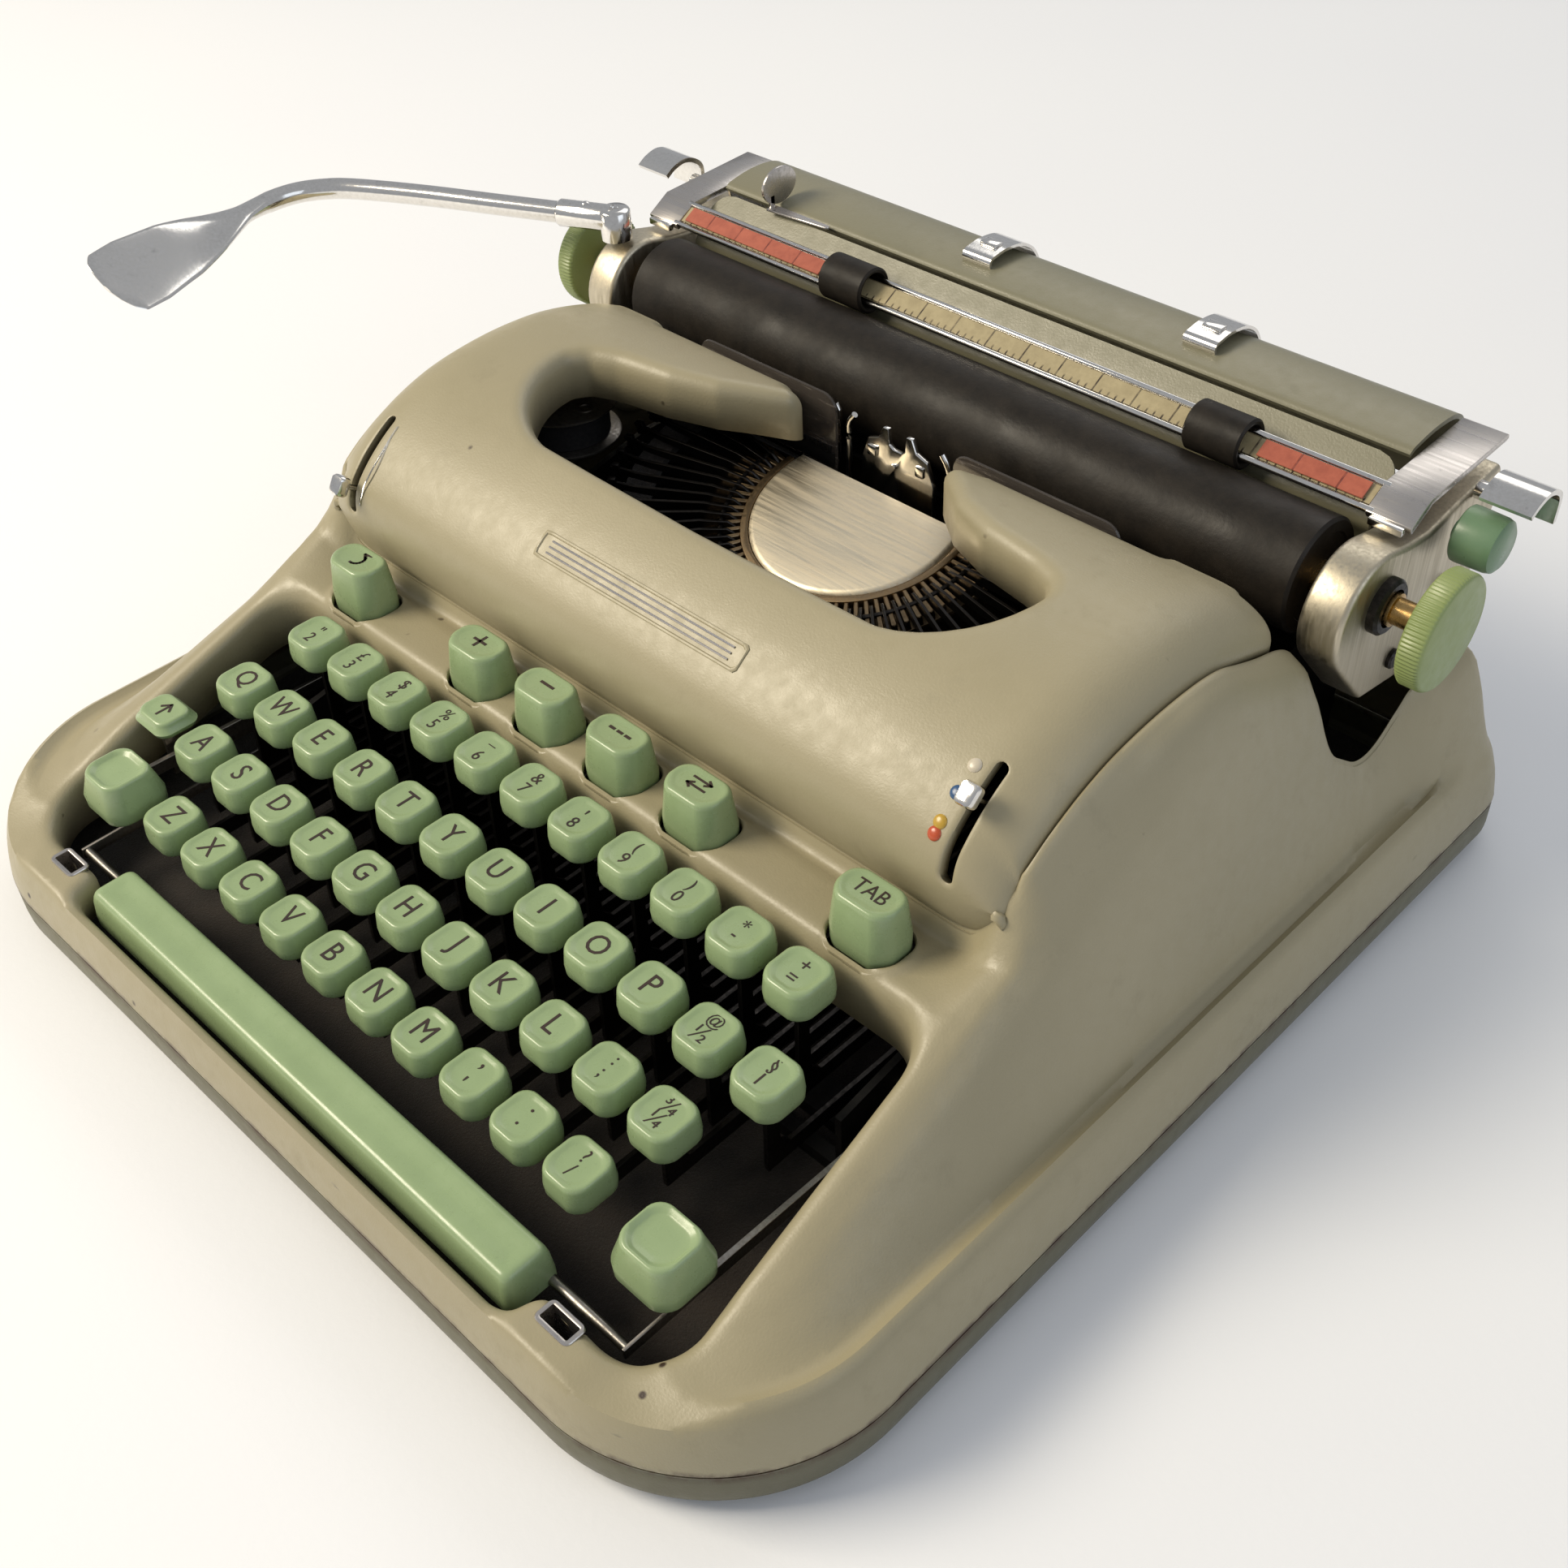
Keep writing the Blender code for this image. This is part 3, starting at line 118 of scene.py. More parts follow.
class Nodes:
    """A material under construction, with short names for the nodes that this script needs."""

    def __init__(self, name, roughness=0.5, metallic=0.0, **constant):
        self.material = bpy.data.materials.new(name)
        self.material.use_nodes = True
        self.tree = self.material.node_tree
        self.shader = self.tree.nodes["Principled BSDF"]
        self.shader.inputs["Roughness"].default_value = roughness
        self.shader.inputs["Metallic"].default_value = metallic
        for key, value in constant.items():
            self.shader.inputs[key.replace("_", " ")].default_value = value
        self.position = self.tree.nodes.new("ShaderNodeTexCoord").outputs["Object"]

    def put(self, kind, inputs=(), **settings):
        """A node with its settings and its inputs, which are numbers, colours or outputs of other nodes."""
        node = self.tree.nodes.new(kind)
        for key, value in settings.items():
            setattr(node, key, value)
        for key, value in dict(inputs).items():
            if isinstance(value, bpy.types.NodeSocket):
                self.tree.links.new(value, node.inputs[key])
            else:
                node.inputs[key].default_value = value
        return node

    def stretched(self, scale):
        return self.put("ShaderNodeMapping", {"Vector": self.position, "Scale": scale}).outputs["Vector"]

    def noise(self, scale, detail=3.0, roughness=0.55, vector=None):
        inputs = {"Vector": vector or self.position, "Scale": scale, "Detail": detail, "Roughness": roughness}
        return self.put("ShaderNodeTexNoise", inputs).outputs["Fac"]

    def cells(self, scale):
        inputs = {"Vector": self.position, "Scale": scale}
        return self.put("ShaderNodeTexVoronoi", inputs, feature="F1").outputs["Distance"]

    def span(self, value, low, high, to_low=0.0, to_high=1.0):
        inputs = {"Value": value, "From Min": low, "From Max": high, "To Min": to_low, "To Max": to_high}
        return self.put("ShaderNodeMapRange", inputs).outputs["Result"]

    def math(self, operation, first, second=0.0):
        return self.put("ShaderNodeMath", {0: first, 1: second}, operation=operation).outputs[0]

    def mix(self, factor, first, second):
        node = self.put("ShaderNodeMix", {"Factor": factor}, data_type="RGBA")
        for socket, value in zip((node.inputs[6], node.inputs[7]), (first, second)):
            if isinstance(value, bpy.types.NodeSocket):
                self.tree.links.new(value, socket)
            else:
                socket.default_value = (*value, 1.0)
        return node.outputs[2]

    def axis(self, letter):
        return self.put("ShaderNodeSeparateXYZ", {0: self.position}).outputs[letter]

    def bump(self, height, distance, strength=1.0, under=None):
        inputs = {"Height": height, "Distance": distance, "Strength": strength}
        if under is not None:
            inputs["Normal"] = under
        return self.put("ShaderNodeBump", inputs).outputs["Normal"]

    def done(self, colour, roughness=None, normal=None):
        self.tree.links.new(colour, self.shader.inputs["Base Color"])
        if roughness is not None:
            self.tree.links.new(roughness, self.shader.inputs["Roughness"])
        if normal is not None:
            self.tree.links.new(normal, self.shader.inputs["Normal"])
        return self.material


def enamel(name, colour, shade, chips=True, rust_z=None, roughness=0.42):
    """Stove enamel with a leather grain, faint stains and small chips; rust_z adds a rusty line there."""
    made = Nodes(name, roughness, Coat_Weight=0.12, Coat_Roughness=0.35)
    stain = made.span(made.noise(14.0, 4.0), 0.35, 0.7)
    base = made.mix(stain, colour, shade)
    grime = made.span(made.noise(60.0, 5.0, 0.7), 0.58, 0.78, 0.0, 0.35)
    base = made.mix(grime, base, tuple(c * 0.72 for c in shade))
    if chips:
        spot = made.span(made.cells(75.0), 0.045, 0.085, 1.0, 0.0)
        thin = made.span(made.noise(38.0, 2.0), 0.58, 0.63)
        base = made.mix(made.math("MULTIPLY", spot, thin), base, (0.035, 0.018, 0.010))
    if rust_z is not None:
        near = made.math("ABSOLUTE", made.math("SUBTRACT", made.axis("Z"), rust_z))
        line = made.span(near, 0.0004, 0.0019, 1.0, 0.0)
        patchy = made.span(made.noise(90.0, 5.0, 0.7), 0.42, 0.6)
        base = made.mix(made.math("MULTIPLY", line, patchy), base, (0.060, 0.030, 0.012))
    rough = made.span(made.noise(240.0, 3.0), 0.3, 0.7, roughness - 0.06, roughness + 0.08)
    fine = made.bump(made.noise(1500.0, 2.0), 0.00006)
    wavy = made.bump(made.noise(45.0, 1.0), 0.0002, 0.6, fine)
    return made.done(base, rough, wavy)


def plastic(name, colour, shade, roughness=0.28, grime=0.25):
    made = Nodes(name, roughness, Coat_Weight=0.25, Coat_Roughness=0.22, Specular_IOR_Level=0.5)
    base = made.mix(made.span(made.noise(60.0, 3.0), 0.35, 0.68), colour, shade)
    dirt = made.span(made.noise(420.0, 4.0, 0.7), 0.62, 0.8, 0.0, grime)
    base = made.mix(dirt, base, tuple(c * 0.45 for c in shade))
    rough = made.span(made.noise(300.0, 3.0), 0.3, 0.7, roughness - 0.05, roughness + 0.1)
    return made.done(base, rough, made.bump(made.noise(900.0, 2.0), 0.00003))


def metal(name, colour, shade, roughness=0.16, brushed=None, pits=0.3):
    """A bare or plated metal, with fine scratches along an axis where it is brushed, and small dull spots."""
    made = Nodes(name, roughness, 1.0)
    stretch = tuple(0.04 if letter == brushed else 1.0 for letter in "XYZ")
    streak = made.noise(900.0, 3.0, 0.6, made.stretched(stretch))
    base = made.mix(made.span(streak, 0.3, 0.7), colour, shade)
    spots = made.span(made.noise(260.0, 4.0, 0.75), 0.6, 0.75, 0.0, pits)
    base = made.mix(spots, base, tuple(c * 0.35 for c in shade))
    rough = made.span(streak, 0.3, 0.7, roughness * 0.8, roughness * 1.35)
    return made.done(base, rough, made.bump(streak, 0.00002 if brushed is None else 0.00005, 0.6))


def rubber(name, colour, shade, roughness=0.5, scale=300.0):
    made = Nodes(name, roughness)
    base = made.mix(made.span(made.noise(scale, 4.0, 0.7), 0.35, 0.7), colour, shade)
    rough = made.span(made.noise(scale / 3, 4.0), 0.3, 0.7, roughness - 0.12, roughness + 0.12)
    made.shader.inputs["Specular IOR Level"].default_value = 0.2
    return made.done(base, rough, made.bump(made.noise(scale * 4, 2.0), 0.00006))


def felt(name):
    """Brown sound-deadening felt, rubbed and dusty."""
    made = Nodes(name, 0.9, Sheen_Weight=0.2)
    base = made.mix(
        made.span(made.noise(45.0, 5.0, 0.7), 0.3, 0.7), (0.030, 0.020, 0.013), (0.010, 0.007, 0.005)
    )
    fibres = made.noise(1400.0, 4.0, 0.8)
    base = made.mix(made.span(fibres, 0.62, 0.8, 0.0, 0.5), base, (0.16, 0.12, 0.08))
    return made.done(base, None, made.bump(fibres, 0.0006))


def smoked(name):
    """Smoked transparent plastic, with fine scratches."""
    made = Nodes(name, 0.12, Transmission_Weight=0.55, IOR=1.49)
    scratch = made.noise(700.0, 3.0, 0.7, made.stretched((0.08, 1.0, 1.0)))
    base = made.mix(made.span(scratch, 0.55, 0.75), (0.10, 0.085, 0.075), (0.30, 0.26, 0.23))
    return made.done(base, made.span(scratch, 0.4, 0.8, 0.08, 0.4))


TYPING_PITCH = 0.00254


def scale_strip(name, colour, shade, tick):
    """A printed strip with a tick at each typing position, along x."""
    made = Nodes(name, 0.4, Coat_Weight=0.3, Coat_Roughness=0.15)
    base = made.mix(made.span(made.noise(220.0, 4.0, 0.7), 0.35, 0.68), colour, shade)
    place = made.math("DIVIDE", made.math("SUBTRACT", made.axis("X"), ORIGIN.x), TYPING_PITCH)
    within = made.math("ABSOLUTE", made.math("SUBTRACT", made.math("FRACT", place), 0.5))
    mark = made.span(within, 0.07, 0.12, 1.0, 0.0)
    tall = made.span(made.axis("Z"), 0.1180, 0.1184, 1.0, 0.0)
    fifth = made.math("FRACT", made.math("DIVIDE", place, 5.0))
    longer = made.math("LESS_THAN", fifth, 0.2)
    mark = made.math("MULTIPLY", mark, made.math("MAXIMUM", tall, longer))
    worn = made.span(made.noise(350.0, 3.0), 0.35, 0.6, 0.35, 1.0)
    base = made.mix(made.math("MULTIPLY", mark, worn), base, tick)
    return made.done(base, None, made.bump(mark, 0.00012))


def floor_paint(name):
    made = Nodes(name, 0.7)
    base = made.mix(made.span(made.noise(3.0, 2.0), 0.3, 0.7), (0.86, 0.87, 0.89), (0.84, 0.85, 0.88))
    return made.done(base, None, made.bump(made.noise(400.0, 2.0), 0.00005))


BODY = enamel("body_enamel", (0.345, 0.302, 0.192), (0.315, 0.276, 0.172), rust_z=0.0155)
TRAY = enamel("tray_enamel", (0.140, 0.132, 0.082), (0.112, 0.105, 0.064), rust_z=0.0145, roughness=0.5)
TABLE = enamel("table_enamel", (0.215, 0.200, 0.130), (0.188, 0.178, 0.115), chips=False, roughness=0.38)
MINT = plastic("mint_keys", (0.290, 0.385, 0.200), (0.265, 0.355, 0.180))
KNOB = plastic("knob_green", (0.250, 0.310, 0.110), (0.225, 0.285, 0.098), 0.4)
BUTTON = plastic("button_green", (0.150, 0.250, 0.140), (0.135, 0.230, 0.125), 0.32)
LEGEND = plastic("legend_brown", (0.035, 0.016, 0.010), (0.022, 0.010, 0.007), 0.5, 0.0)
CHROME = metal("chrome", (0.80, 0.78, 0.75), (0.70, 0.68, 0.65), 0.13)
SATIN = metal("satin_chrome", (0.62, 0.58, 0.55), (0.50, 0.47, 0.44), 0.28, "X")
STEEL = metal("machine_steel", (0.36, 0.34, 0.31), (0.24, 0.22, 0.20), 0.34)
CAST = metal("cast_grey", (0.58, 0.52, 0.40), (0.48, 0.43, 0.33), 0.4, "Z", 0.12)
DISC = metal("disc_steel", (0.80, 0.72, 0.56), (0.68, 0.60, 0.46), 0.45, "X", 0.15)
BRONZE = metal("segment_bronze", (0.30, 0.22, 0.13), (0.20, 0.14, 0.08), 0.38)
BRASS = metal("shaft_brass", (0.55, 0.36, 0.14), (0.42, 0.26, 0.10), 0.25)
BLACK_STEEL = metal("blued_steel", (0.050, 0.046, 0.044), (0.026, 0.024, 0.023), 0.36)
BLACK = rubber("black_paint", (0.012, 0.011, 0.010), (0.006, 0.006, 0.006), 0.42)
PLATEN = rubber("platen_rubber", (0.020, 0.016, 0.012), (0.011, 0.009, 0.007), 0.5, 160.0)
RIBBON = rubber("ribbon_cloth", (0.010, 0.010, 0.011), (0.020, 0.019, 0.019), 0.8, 900.0)
FOOT = rubber("foot_rubber", (0.022, 0.020, 0.018), (0.012, 0.011, 0.010), 0.75)
FELT = felt("brown_felt")
PLATE_BROWN = metal("brown_plate", (0.115, 0.085, 0.060), (0.060, 0.042, 0.030), 0.5)
SMOKED = smoked("smoked_plastic")
RED = scale_strip("red_strip", (0.430, 0.110, 0.060), (0.330, 0.075, 0.040), (0.150, 0.020, 0.010))
CREAM = scale_strip("cream_scale", (0.420, 0.350, 0.200), (0.330, 0.270, 0.150), (0.040, 0.025, 0.012))
DOTS = {
    "dot_white": plastic("dot_white", (0.62, 0.56, 0.44), (0.52, 0.46, 0.36)),
    "dot_blue": plastic("dot_blue", (0.030, 0.095, 0.230), (0.020, 0.070, 0.180)),
    "dot_yellow": plastic("dot_yellow", (0.520, 0.330, 0.040), (0.440, 0.270, 0.030)),
    "dot_red": plastic("dot_red", (0.520, 0.085, 0.025), (0.420, 0.065, 0.020)),
}


# ---------------------------------------------------------------------------------------- making meshes


def piece(name, bm, material, body, replaces=(), sharp=38.0):
    """Turns a mesh drawn in millimetres into a named piece that rides on a body."""
    bmesh.ops.remove_doubles(bm, verts=bm.verts, dist=0.002)
    bmesh.ops.recalc_face_normals(bm, faces=bm.faces)
    for vert in bm.verts:
        vert.co = to_world(vert.co)
    mesh = bpy.data.meshes.new(name)
    bm.to_mesh(mesh)
    bm.free()
    obj = bpy.data.objects.new(name, mesh)
    bpy.context.scene.collection.objects.link(obj)
    for one in material if isinstance(material, (list, tuple)) else [material]:
        mesh.materials.append(one)
    mesh.shade_smooth()
    mesh.set_sharp_from_angle(angle=math.radians(sharp))
    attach(obj, body)
    if replaces:
        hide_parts(*replaces)
    return obj


def skin(bm, rings, start_cap=True, end_cap=True, index=0):
    """Joins rings of equal point counts into a surface of the bmesh."""
    loops = [[bm.verts.new(point) for point in ring] for ring in rings]
    count = len(rings[0])
    for lower, upper in zip(loops, loops[1:]):
        for i in range(count):
            j = (i + 1) % count
            bm.faces.new((lower[i], lower[j], upper[j], upper[i])).material_index = index
    if start_cap:
        bm.faces.new(loops[0][::-1]).material_index = index
    if end_cap:
        bm.faces.new(loops[-1]).material_index = index
    return loops


AXES = {
    "X": Matrix(((0, 0, 1), (1, 0, 0), (0, 1, 0))),
    "Y": Matrix(((1, 0, 0), (0, 0, 1), (0, 1, 0))),
    "Z": Matrix.Identity(3),
}


def turned(bm, profile, centre, axis="X", steps=48, index=0):
    """Turns a profile of (radius, distance along the axis) round an axis; an end at radius 0 closes it."""
    frame_axes = AXES[axis]
    rings = []
    for radius, along in profile:
        angles = np.linspace(0.0, 2 * math.pi, steps, endpoint=False)
        radius = max(radius, 0.001)
        rings.append(
            [
                frame_axes @ Vector((radius * math.cos(a), radius * math.sin(a), along)) + Vector(centre)
                for a in angles
            ]
        )
    skin(bm, rings, index=index)


def on_side(profile, side):
    """A turned profile drawn for the right side, put on the right (1) or the left (-1)."""
    return [(radius, side * along) for radius, along in profile]


def slab(bm, outline, low, high, axis="Z", rounding=0.0, segments=2, index=0):
    """A flat outline given a thickness from low to high along an axis, with rounded edges.

    The outline is (x, y) for axis Z, (x, z) for axis Y and (y, z) for axis X.
    """
    own = bmesh.new()
    frame_axes = AXES[axis]
    lows = [own.verts.new(frame_axes @ Vector((*point, low))) for point in outline]
    highs = [own.verts.new(frame_axes @ Vector((*point, high))) for point in outline]
    own.faces.new(lows[::-1])
    own.faces.new(highs)
    for i in range(len(outline)):
        j = (i + 1) % len(outline)
        own.faces.new((lows[i], lows[j], highs[j], highs[i]))
    bmesh.ops.recalc_face_normals(own, faces=own.faces)
    if rounding:
        edges = [edge for edge in own.edges if edge.calc_face_angle(0.0) > math.radians(30.0)]
        bmesh.ops.bevel(
            own, geom=edges, offset=rounding, segments=segments, profile=0.5, affect="EDGES",
            clamp_overlap=True
        )
    merge(bm, own, index)


def merge(bm, own, index=0):
    """Copies one bmesh into another."""
    made = {vert: bm.verts.new(vert.co) for vert in own.verts}
    for face in own.faces:
        bm.faces.new([made[vert] for vert in face.verts]).material_index = index
    own.free()


def block(bm, low, high, rounding=0.3, index=0):
    """A box with rounded edges."""
    plan = [(low[0], low[1]), (high[0], low[1]), (high[0], high[1]), (low[0], high[1])]
    slab(bm, plan, low[2], high[2], "Z", rounding, index=index)


def sweep(bm, points, radii, sides=12, flat=None, index=0, up=(0.0, 0.0, 1.0), lean=None):
    """A bar along points. radii is one number or one per point; flat gives each point's height across the bar
    and lean its turn about the bar's own line, in degrees."""
    points = [Vector(point) for point in points]
    radii = [radii] * len(points) if isinstance(radii, (int, float)) else radii
    flat = radii if flat is None else flat
    rings = []
    for i, point in enumerate(points):
        along = (points[min(i + 1, len(points) - 1)] - points[max(i - 1, 0)]).normalized()
        side = along.cross(Vector(up))
        side = side.normalized() if side.length > 0.05 else along.orthogonal().normalized()
        lift = side.cross(along).normalized()
        if lean is not None:
            turn = Matrix.Rotation(math.radians(lean[i]), 3, along)
            side, lift = turn @ side, turn @ lift
        angles = np.linspace(0.0, 2 * math.pi, sides, endpoint=False)
        rings.append([point + side * radii[i] * math.cos(a) + lift * flat[i] * math.sin(a) for a in angles])
    skin(bm, rings, index=index)


def smooth_path(points, count):
    """A smooth curve through points, as count points (Catmull-Rom)."""
    points = np.array(points, float)
    padded = np.vstack([2 * points[0] - points[1], points, 2 * points[-1] - points[-2]])
    made = []
    for t in np.linspace(0.0, len(points) - 1.0, count):
        i = min(int(t), len(points) - 2)
        f = t - i
        a, b, c, d = padded[i : i + 4]
        made.append(
            0.5 * (2 * b + (c - a) * f + (2 * a - 5 * b + 4 * c - d) * f**2 + (3 * b - a - 3 * c + d) * f**3)
        )
    return np.array(made)


def smoothstep(low, high, value):
    t = np.clip((value - low) / (high - low), 0.0, 1.0)
    return t * t * (3.0 - 2.0 * t)


def arc(centre, radius, start, end, steps):
    angles = np.radians(np.linspace(start, end, steps + 1))
    return [(centre[0] + radius * math.cos(a), centre[1] + radius * math.sin(a)) for a in angles]


def rounded_rectangle(centre, half_x, half_y, radius, steps=5):
    x, y = centre
    corners = ((1, 1, 0), (-1, 1, 90), (-1, -1, 180), (1, -1, 270))
    points = []
    for sx, sy, start in corners:
        points += arc(
            (x + sx * (half_x - radius), y + sy * (half_y - radius)), radius, start, start + 90, steps
        )
    return points


def mirrored(half):
    return half + [(-x, y) for x, y in reversed(half) if abs(x) > 0.01]


def resampled(outline, step):
    """A closed outline with a point about every step."""
    outline = np.array(outline, float)
    closed = np.vstack([outline, outline[:1]])
    lengths = np.hypot(*np.diff(closed, axis=0).T)
    keep = np.concatenate([[True], lengths[:-1] > 1e-6])
    closed = np.vstack([outline[keep], outline[:1]])
    lengths = np.hypot(*np.diff(closed, axis=0).T)
    reach = np.concatenate([[0.0], np.cumsum(lengths)])
    count = max(int(reach[-1] / step), 8)
    at = np.linspace(0.0, reach[-1], count, endpoint=False)
    return np.stack([np.interp(at, reach, closed[:, 0]), np.interp(at, reach, closed[:, 1])], axis=1)


def rounded_outline(outline, amount, step=1.2):
    """Softens an outline's corners by averaging it along its length."""
    points = resampled(outline, step)
    width = max(int(amount / step), 1)
    window = np.hanning(2 * width + 3)[1:-1]
    window /= window.sum()
    ring = np.vstack([points[-width - 1 :], points, points[: width + 1]])
    made = np.stack([np.convolve(ring[:, k], window, "same") for k in (0, 1)], axis=1)
    return made[width + 1 : -width - 1]


def polyline_distance(points, outline):
    """The distance of points from a closed outline."""
    points = np.asarray(points, float)
    start, end = outline, np.roll(outline, -1, axis=0)
    best = np.full(len(points), 1e9)
    for a, b in zip(start, end):
        along = b - a
        length = max(along @ along, 1e-12)
        t = np.clip(((points - a) @ along) / length, 0.0, 1.0)
        gap = points - a - t[:, None] * along
        best = np.minimum(best, gap[:, 0] ** 2 + gap[:, 1] ** 2)
    return np.sqrt(best)


def nearest(points, others):
    """The distance of each point from the nearest of the others."""
    return np.sqrt(((points[:, None, :] - others[None]) ** 2).sum(-1)).min(axis=1)


def roll_drop(gap, radius):
    """How far an edge rolled to a radius drops at a distance from its border."""
    gap = np.minimum(gap, radius)
    return radius - np.sqrt(np.maximum(radius**2 - (radius - gap) ** 2, 0.0))


def within(points, outline):
    """Which points lie inside a closed outline."""
    points = np.asarray(points, float)
    inside = np.zeros(len(points), bool)
    x, y = points[:, 0], points[:, 1]
    for (ax, ay), (bx, by) in zip(outline, np.roll(outline, -1, axis=0)):
        crosses = (ay > y) != (by > y)
        if by != ay:
            inside ^= crosses & (x < (bx - ax) * (y - ay) / (by - ay) + ax)
    return inside


def offset(outline, distance):
    """Moves a closed outline outwards (or inwards, if negative) by its normals."""
    after, before = np.roll(outline, -1, axis=0), np.roll(outline, 1, axis=0)
    along = after - before
    along /= np.maximum(np.hypot(along[:, 0], along[:, 1]), 1e-9)[:, None]
    area = np.sum(outline[:, 0] * after[:, 1] - after[:, 0] * outline[:, 1])
    normal = np.stack([along[:, 1], -along[:, 0]], axis=1) * (1.0 if area > 0 else -1.0)
    return outline + normal * distance


def triangulated(outer, holes, rings, spacing, fine, band):
    """Triangles of the area between an outer outline and holes.

    rings is a list of distances: rows of points follow every outline at those distances, so that a rolled
    edge is smooth. fine is the finer spacing used within band of an outline. Returns points and faces.
    """
    borders = [outer] + holes
    points = list(borders)
    for distance in rings:
        for number, outline in enumerate(borders):
            moved = offset(outline, -distance if number == 0 else distance)
            clear = np.ones(len(moved), bool)
            for other in borders:
                clear &= polyline_distance(moved, other) > distance * 0.93
            clear &= within(moved, outer)
            for hole in holes:
                clear &= ~within(moved, hole)
            points.append(moved[clear])
    low, high = outer.min(axis=0), outer.max(axis=0)
    widest = max(rings)
    for step, near_only in ((spacing, False), (fine, True)):
        grid = np.stack(
            np.meshgrid(np.arange(low[0], high[0], step), np.arange(low[1], high[1], step)), -1
        ).reshape(-1, 2)
        grid = grid[within(grid, outer)]
        distance = np.full(len(grid), 1e9)
        for outline in borders:
            distance = np.minimum(distance, polyline_distance(grid, outline))
        inside_hole = np.zeros(len(grid), bool)
        for hole in holes:
            inside_hole |= within(grid, hole)
        keep = ~inside_hole & (distance > widest + step * 0.35)
        keep &= (distance < band) if near_only else (distance >= band)
        points.append(grid[keep])
    cloud = np.vstack(points)
    edges, first = [], 0
    for outline in borders:
        count = len(outline)
        edges += [(first + i, first + (i + 1) % count) for i in range(count)]
        first += count
    result = delaunay_2d_cdt([Vector(p) for p in cloud], edges, [], 0, 1e-5)
    found = np.array([tuple(p) for p in result[0]])
    faces = np.array(result[2])
    middle = found[faces].mean(axis=1)
    keep = within(middle, outer)
    for hole in holes:
        keep &= ~within(middle, hole)
    return found, faces[keep]


def surface(bm, points, faces, lift, skirts):
    """Lifts flat triangles onto a surface, then drops a wall from each border named in skirts.

    lift turns (n, 2) points into (n, 3). skirts is a list of (outline, steps), where each step is a function
    that turns a point of the wall into the one below it.
    """
    used = np.unique(faces)
    lifted = lift(points)
    verts = {i: bm.verts.new(lifted[i]) for i in used}
    for face in faces:
        bm.faces.new([verts[i] for i in face])
    lookup = {(round(x, 3), round(y, 3)): i for i, (x, y) in enumerate(points)}
    for outline, steps in skirts:
        loop = [verts.get(lookup.get((round(x, 3), round(y, 3)), -1)) for x, y in outline]
        loop = [vert for vert in loop if vert is not None]
        for foot in steps:
            below = [bm.verts.new(foot(vert.co)) for vert in loop]
            for i in range(len(loop)):
                j = (i + 1) % len(loop)
                bm.faces.new((loop[i], loop[j], below[j], below[i]))
            loop = below


def solid_shell(obj, thickness):
    """Gives an open surface its sheet thickness, inwards."""
    wall = obj.modifiers.new("wall", "SOLIDIFY")
    wall.thickness = thickness * MM
    wall.offset = -1.0
    graph = bpy.context.evaluated_depsgraph_get()
    graph.update()
    mesh = bpy.data.meshes.new_from_object(obj.evaluated_get(graph))
    obj.modifiers.clear()
    obj.data = mesh


# ---------------------------------------------------------------------------------------- tray and body


def plan_outline(inset=0.0, steps=16):
    """The rounded rectangle that the tray and the body share."""
    right, front, back = HALF_WIDTH - inset, FRONT_Y + inset, BACK_Y - inset
    front_r, back_r = FRONT_RADIUS - inset, max(BACK_RADIUS - inset, 1.0)
    return np.array(
        arc((right - front_r, front + front_r), front_r, -90, 0, steps)
        + arc((right - back_r, back - back_r), back_r, 0, 90, steps // 2)
        + arc((back_r - right, back - back_r), back_r, 90, 180, steps // 2)
        + arc((front_r - right, front + front_r), front_r, 180, 270, steps)
    )


def edge_distance(x, y):
    """How far inside the plan outline a point lies."""
    radius = np.where(y < 0.0, FRONT_RADIUS, BACK_RADIUS)
    to_side = HALF_WIDTH - radius - np.abs(x)
    to_end = np.where(y < 0.0, y - FRONT_Y - radius, BACK_Y - radius - y)
    corner = np.hypot(np.minimum(to_side, 0.0), np.minimum(to_end, 0.0))
    return radius - np.minimum(np.maximum(-to_side, -to_end), 0.0) - corner


def blurred(stations, values, width):
    """A lookup of values at stations whose corners are rounded over a width."""
    fine = np.linspace(stations[0], stations[-1], 600)
    step = fine[1] - fine[0]
    reach = max(int(width / step), 1)
    rough = np.interp(fine, stations, values)
    padded = np.concatenate([np.full(reach, rough[0]), rough, np.full(reach, rough[-1])])
    window = np.hanning(2 * reach + 3)[1:-1]
    smooth = np.convolve(padded, window / window.sum(), "valid")
    return fine, smooth


CREST = blurred(
    (-176, -163, -120, -76, -50, -25, 0, 14, 30, 47, 56, 61.5, 66, 81, 90, 120, 140, 147),
    (26, 28.5, 44, 60, 73, 92, 106, 108.5, 106, 99.5, 97, 94, 88, 67.5, 64, 64, 65, 64),
    5.0,
)
FENDER = blurred((0.0, 0.06, 0.16, 0.35, 0.6, 0.8, 1.0), (0.0, 0.025, 0.15, 0.46, 0.80, 0.95, 1.0), 0.035)
PLINTH = blurred(
    (0.0, 0.5, 1.4, 2.8, 4.2, 5.4, 6.4, 7.8, 9.3, 10.5),
    (15.3, 19.0, 23.5, 28.2, 31.4, 33.1, 33.6, 32.7, 31.6, 31.6), 0.35
)
PLINTH_DEPTH = 10.5
RIM_INSET = 1.4


def side_crest(y):
    return np.interp(y, *CREST)


